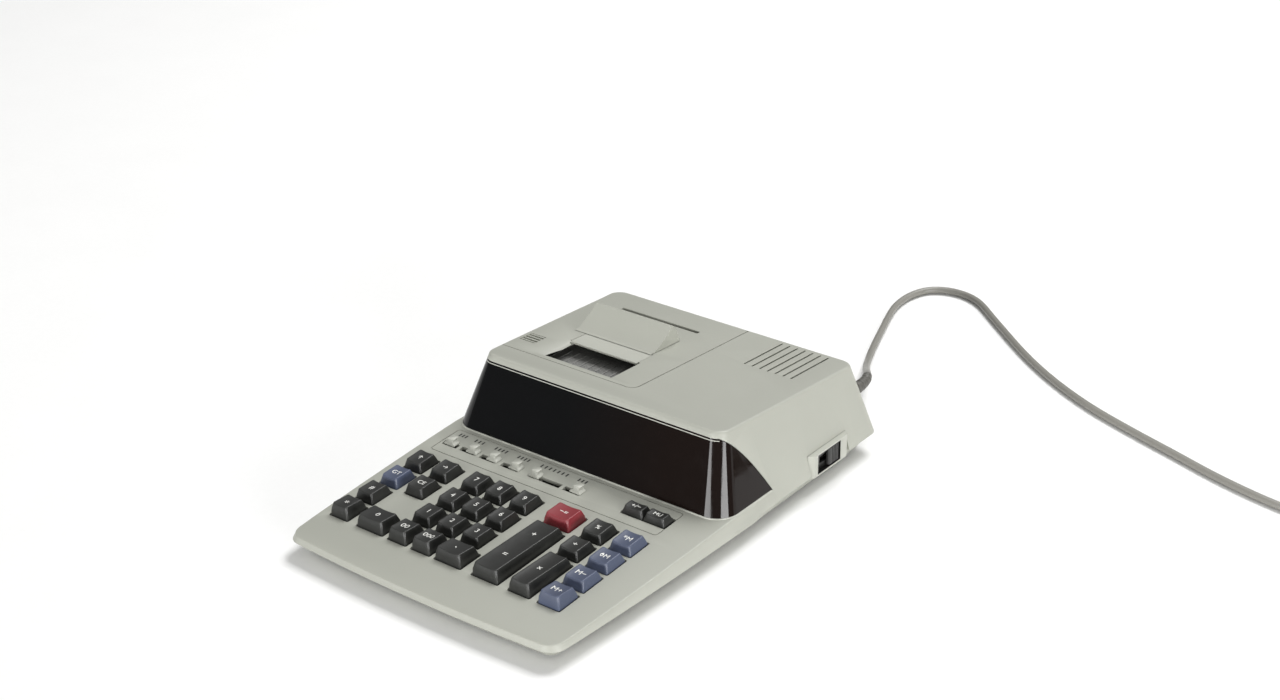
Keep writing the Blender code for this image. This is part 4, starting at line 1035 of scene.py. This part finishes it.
# Groups of keys, each with the heights of its keys' front and rear edges over the deck. Each key has its
# name, its characters and their size.
KEY_ROWS = (
    (8.4, 6.8, (("total", "*", 7.0), ("0", "0", 5.2), ("00", "00", 5.7), ("000", "000", 5.2),
                ("point", "•", 4.2))),
    (8.4, 6.6, (("plus_equals", "+=", 6.4), ("multiply", "×", 6.4))),
    (8.4, 6.8, (("memory_plus", "M+", 5.6),)),
    (6.6, 6.2, (("number_print", "#", 5.2), ("1", "1", 5.2), ("2", "2", 5.2), ("3", "3", 5.2),
                ("memory_minus", "M−", 5.6))),
    (6.2, 6.2, (("grand_total", "GT", 4.9), ("clear", "CE", 4.9), ("4", "4", 5.2), ("5", "5", 5.2),
                ("6", "6", 5.2), ("divide", "÷", 6.0), ("memory_subtotal", "◊M", 5.2))),
    (6.0, 6.4, (("paper_feed", "↑", 5.0), ("backspace", "→", 5.0), ("7", "7", 5.2), ("8", "8", 5.2),
                ("9", "9", 5.2))),
    (7.4, 7.4, (("minus_equals", "−=", 5.4),)),
    (6.0, 6.4, (("percent", "%", 4.8), ("memory_total", "*M", 5.4))),
    (5.0, 5.0, (("change_sign", "+/−", 4.8), ("markup", "MU", 4.2))),
)
KEY_COLOURS = {"minus_equals": "red", "grand_total": "blue", "memory_plus": "blue", "memory_minus": "blue",
               "memory_subtotal": "blue", "memory_total": "blue"}
# Where a key's characters stand apart or off its middle: how far back each one lies
LEGEND_SHIFTS = {"total": (-1.6,), "plus_equals": (15.0, -11.0)}
KEY_SKIRT, KEY_WALL_FOOT = 0.9, 0.6
DISH_DEPTH = 0.7
# Insets at the sides, front and rear, corner radius, drop below the top, and share of the hollow
KEY_LEVELS = ((0.30, 0.30, 0.60, 1.00, 4.4, 0.0), (0.75, 0.70, 1.30, 1.05, 2.6, 0.0),
              (1.15, 1.05, 2.00, 1.10, 1.2, 0.3), (1.35, 1.25, 2.30, 1.10, 0.45, 0.75),
              (1.50, 1.40, 2.50, 1.05, 0.15, 0.95), (1.75, 1.65, 2.80, 0.95, 0.02, 1.0),
              (2.30, 2.20, 3.40, 0.80, 0.0, 1.0))


def make_key(node, colour, heights, legends, size):
    """A key cap with leaning walls, soft edges and a top that is hollowed from side to side."""
    (x0, x1), (f0, f1), _ = span(node)
    middle = (x0 + x1) / 2
    top_half = (x1 - x0) / 2 - 1.5

    def plane(f):
        return heights[0] + (heights[1] - heights[0]) * (f - f0) / (f1 - f0)

    def dish(x, weight=1.0):
        return DISH_DEPTH * weight * (1 - min(abs(x - middle) / top_half, 1.0) ** 2)

    def surface(x, f):
        return deck_z(f) + plane(f) - dish(x)

    def outline(side, front, rear, corner):
        return rounded_rectangle(x0 + side, x1 - side, f0 + front, f1 - rear, corner, 7, 8)

    foot = outline(0.0, 0.0, 0.0, 1.0)
    rings = [[(x, f, deck_z(f) + rise) for x, f in foot] for rise in (-KEY_SKIRT, KEY_WALL_FOOT)]
    for *insets, drop, weight in KEY_LEVELS:
        if drop < min(heights) - KEY_WALL_FOOT:
            rings.append([(x, f, deck_z(f) + (plane(f) - drop - dish(x, weight)))
                          for x, f in outline(*insets)])
    centre = (middle, (f0 + insets[1] + f1 - insets[2]) / 2)
    piece(capped(f"{node}_cap", rings, outline(*insets), centre, surface, colour), node, colour, node)
    for i, (text, back) in enumerate(legends):
        where = (middle, (f0 + f1) / 2 - 0.7 + back)
        piece(legend_mesh(f"{node}_legend_{i}", text, size, where, surface), node, "knob")


def capped(name, rings, rim, centre, surface, material):
    """Skins the rings, and fills the last with shrinking copies of its rim that follow surface(x, f)."""
    bm = bmesh.new()
    made = [[bm.verts.new(place(*point)) for point in ring] for ring in rings]
    for share in (0.8, 0.6, 0.4, 0.2):
        shrunk = [(centre[0] + (x - centre[0]) * share, centre[1] + (f - centre[1]) * share) for x, f in rim]
        made.append([bm.verts.new(place(x, f, surface(x, f))) for x, f in shrunk])
    skin(bm, made, close_last=False)
    tip = bm.verts.new(place(*centre, surface(*centre)))
    for i, vertex in enumerate(made[-1]):
        bm.faces.new((vertex, made[-1][(i + 1) % len(made[-1])], tip))
    return finish_mesh(name, bm, material, 50)


def make_keys():
    for *heights, row in KEY_ROWS:
        for name, text, size in row:
            shifts = LEGEND_SHIFTS.get(name)
            legends = zip(text, shifts) if shifts else [(text, 0.0)]
            make_key(f"key_{name}", KEY_COLOURS.get(name, "charcoal"), heights, legends, size)


# Switches


# From the shoe up: half width, front and rear counted from the slot, height over the deck, corner radius
SLIDE_LEVELS = (
    (4.0, -3.25, 3.25, -3.8, 0.4), (4.0, -3.25, 3.25, -2.6, 0.4), (2.5, -1.3, 1.3, -2.6, 0.4),
    (2.5, -1.3, 1.3, 0.3, 0.4), (4.4, -1.9, 4.2, 0.3, 0.7), (4.3, -1.85, 4.25, 0.7, 0.7),
    (3.9, -1.6, 4.3, 1.1, 0.7), (3.0, -1.1, 4.3, 1.6, 0.7), (2.35, -0.75, 4.35, 2.2, 0.7),
    (2.15, -0.55, 4.45, 2.7, 0.7), (2.3, -0.40, 4.6, 3.2, 0.7), (2.6, -0.25, 4.8, 3.6, 0.7),
    (2.75, -0.15, 4.95, 3.85, 0.7), (2.6, 0.1, 4.8, 4.0, 0.7),
)


def make_slide_knobs():
    """Thumb tabs that are wide at the foot, narrow in the middle and wide again at the tip."""
    for node in [name for name in frame["nodes"] if name.startswith("slide_knob")]:
        x = sum(span(node)[0]) / 2
        rings = []
        for half, front, rear, rise, corner in SLIDE_LEVELS:
            outline = rounded_rectangle(x - half, x + half, SLIDE_F + front, SLIDE_F + rear, corner, 5)
            rings.append([(px, pf, deck_z(pf) + rise) for px, pf in outline])
        piece(stacked(f"{node}_tab", rings, "knob", 45), node, "knob", node)


# Marks behind the slide switches: first and last place along x, and how many
TICKS = ((-94.0, -89.0, 3), (-80.5, -74.5, 3), (-63.5, -55.0, 4), (-44.5, -36.5, 4), (-25.5, -5.2, 7),
         (4.5, 10.0, 3))
TICK_F, TICK_WIDTH = (147.0, 150.2), 1.1


def make_ticks():
    bm = bmesh.new()
    for first, last, count in TICKS:
        for i in range(count):
            x = first + (last - first) * i / (count - 1)
            outline = corners(widened((x, x), TICK_WIDTH / 2), TICK_F)
            skin(bm, [[bm.verts.new(place(px, pf, deck_z(pf) + rise)) for px, pf in outline]
                      for rise in (-0.08, 0.04)])
    piece(finish_mesh("switch_marks", bm, "ink"), "case", "black")


POWER_KNOB_X, KNOB_GROOVES, KNOB_GROOVE_PITCH = (107.8, 110.2), 4, 1.7


def make_power_switch():
    """The bezel's face stands upright while the case wall leans, so it stands proud at its top."""
    (x0, x1), (f0, f1) = BEZEL_X, BEZEL_F
    edge_x, edge_f = x1 - BEZEL_CHAMFER, widened(BEZEL_F, -BEZEL_CHAMFER)
    outline = [(x0, f0), (edge_x, f0), (x1, edge_f[0]), (x1, edge_f[1]), (edge_x, f1), (x0, f1)]
    bezel = plan_prism("power_bezel", outline, *BEZEL_Z)
    around = (widened(POCKET_F, GAP), widened(POCKET_Z, GAP))
    shaped(bezel, difference=[box("power_window", (100.0, 115.0), *around)])
    piece(bevelled(painted(bezel, "knob"), 0.35), "case", "knob", "power_switch_bezel")
    lining = box("power_lining", (x0, x1 - 0.15), *around, "black")
    slot_f = widened((POWER_STEM_F[0] - POWER_TRAVEL, POWER_STEM_F[1]), GAP)
    shaped(lining, difference=[box("lining_pocket", (POCKET_FLOOR_X, 115.0), POCKET_F, POCKET_Z),
                               box("lining_slot", (100.0, 110.0), slot_f, widened(POWER_STEM_Z, GAP))])
    piece(lining, "case", "black")
    _, (k0, k1), (z0, z1) = span("power_switch_knob")
    back, face = POWER_KNOB_X
    profile = [(k0 + 0.1, back), (k0 + 0.3, 109.2), (k0 + 1.0, 110.0), (k0 + 2.2, face)]
    for i in range(KNOB_GROOVES):
        groove = k0 + 4.2 + KNOB_GROOVE_PITCH * i
        profile += [(groove - 0.45, face), (groove, 109.5), (groove + 0.45, face)]
    profile += [(k1 - 0.6, face), (k1, 109.7), (k1, back)]
    knob = plan_prism("power_knob", [(x, f) for f, x in profile], z0, z1)
    shaped(knob, union=[box("power_stem", (99.0, 108.5), POWER_STEM_F, POWER_STEM_Z)])
    piece(bevelled(painted(knob, "black"), 0.25), "power_switch_knob", "black", "power_switch_knob")


# Printer


SHAFT_RADIUS, ROLLER_X = 2.5, -75.0
WHEELS, WHEEL_X, WHEEL_PITCH = 15, -70.5, 4.75
TYPE_ROWS, TYPE_RADIUS = 12, 8.45
SLEEVES, SLEEVE_PITCH = 4, 19.0
GEAR_TEETH, GEAR_X = 14, (-88.0, -84.2)
# One tooth of a gear of module 2: radius, and degrees from the tooth's middle
GEAR_TOOTH = ((11.9, -9.2), (14.6, -4.6), (15.5, -2.6), (15.5, 2.6), (14.6, 4.6), (11.9, 9.2))


def make_print_drum():
    """Type wheels side by side on the drum's shaft, each with a ring of raised characters."""
    random.seed(7)
    bm = bmesh.new()
    low, high = span("print_drum")[0]
    add_turned(bm, DRUM_F, ((low, SHAFT_RADIUS), (ROLLER_X, SHAFT_RADIUS), (ROLLER_X, 8.1), (0.9, 8.1),
                            (0.9, SHAFT_RADIUS), (high, SHAFT_RADIUS)))
    for wheel in range(WHEELS):
        x = WHEEL_X + wheel * WHEEL_PITCH
        for row in range(TYPE_ROWS):
            angle = math.radians(row * 360 / TYPE_ROWS + 8)
            add_block(bm, x, DRUM_F, angle, TYPE_RADIUS, (random.uniform(2.0, 2.8), 1.1, 1.1))
    add_gear(bm, DRUM_F, 0.0)
    piece(finish_mesh("type_drum", bm, "printer"), "print_drum", "printer", "print_drum")


def add_turned(bm, f, profile):
    """Adds a body turned about the X axis at (f, ROLLER_Z), from (x, radius) pairs."""
    rings = []
    for x, radius in profile:
        rings.append([bm.verts.new(place(x, f + radius * math.cos(a), ROLLER_Z + radius * math.sin(a)))
                      for a in [2 * math.pi * k / 36 for k in range(36)]])
    skin(bm, rings)


def add_block(bm, x, f, angle, radius, size):
    """Adds a block that stands out at radius from a shaft along the X axis at (f, ROLLER_Z)."""
    at_shaft = Matrix.Translation(place(x, f, ROLLER_Z)) @ Matrix.Rotation(angle, 4, "X")
    shift = Matrix.Translation((0.0, radius * MM, 0.0))
    scale = Matrix.Diagonal((*(Vector(size) * MM), 1.0))
    bmesh.ops.create_cube(bm, size=1.0, matrix=at_shaft @ shift @ scale)


def add_gear(bm, f, tilt):
    """A spur gear outside the printer frame's left wall."""
    outline = []
    for tooth in range(GEAR_TEETH):
        for radius, degrees in GEAR_TOOTH:
            angle = math.radians(tilt + 360.0 * tooth / GEAR_TEETH + degrees)
            outline.append((f + radius * math.cos(angle), ROLLER_Z + radius * math.sin(angle)))
    skin(bm, [[bm.verts.new(place(x, a, b)) for a, b in outline] for x in GEAR_X])


def make_feed_roller():
    """A rubber roller in four sleeves with grooves between them."""
    bm = bmesh.new()
    low, high = span("feed_roller")[0]
    profile = [(low, SHAFT_RADIUS), (ROLLER_X, SHAFT_RADIUS)]
    for i in range(SLEEVES):
        start = ROLLER_X + i * SLEEVE_PITCH
        profile += [(start + 0.01, 7.4), (start + 0.5, 8.0), (start + 17.5, 8.0), (start + 18.0, 7.4),
                    (start + 18.2, 6.2), (start + 18.9, 6.2)]
    profile += [(1.0, SHAFT_RADIUS), (high, SHAFT_RADIUS)]
    add_turned(bm, FEED_F, profile)
    add_gear(bm, FEED_F, 180.0 / GEAR_TEETH)
    piece(finish_mesh("rubber_roller", bm, "rubber"), "feed_roller", "rubber", "feed_roller")


SHIELD_BOX = ((-79.0, 5.0), (198.5, 241.0), (57.4, 58.6))
SHIELD_RIB = ((203.0, 58.3), (206.0, 59.0), (228.0, 59.0), (230.0, 58.3))
SHIELD_RIBS, SHIELD_RIB_X, SHIELD_RIB_PITCH, SHIELD_RIB_WIDTH = 12, -72.0, 6.2, 0.8


def make_printer_deck():
    """The dark plate under the opening, with ribs that lead the paper."""
    plate = box("ribbon_shield", *SHIELD_BOX)
    for i in range(SHIELD_RIBS):
        x = SHIELD_RIB_X + i * SHIELD_RIB_PITCH
        shaped(plate, union=[side_prism("shield_rib", SHIELD_RIB, x, x + SHIELD_RIB_WIDTH)])
    piece(bevelled(painted(plate, "shield"), 0.15), "case", "steel")


INNER_NODES = ("key_plate", "keyboard_board", "main_board", "display_tube", "transformer", "printer_frame")


def finish_inner_nodes():
    """The pieces that keep their CAD shape get the material of their slot."""
    slots = {part["node"]: part["material_slot"] for part in frame["record"]["subparts"]}
    for name in INNER_NODES:
        node = frame["nodes"][name]
        node.data.materials.clear()
        node.data.materials.append(MATERIALS[slots[name]])


make_camera()
make_lights()
make_floor()
make_cord()
make_upper_case()
make_lower_case()
make_feet()
make_display_window()
make_printer_cover()
make_paper_cutter()
make_paper_guide()
make_keys()
make_slide_knobs()
make_ticks()
make_power_switch()
make_print_drum()
make_feed_roller()
make_printer_deck()
finish_inner_nodes()
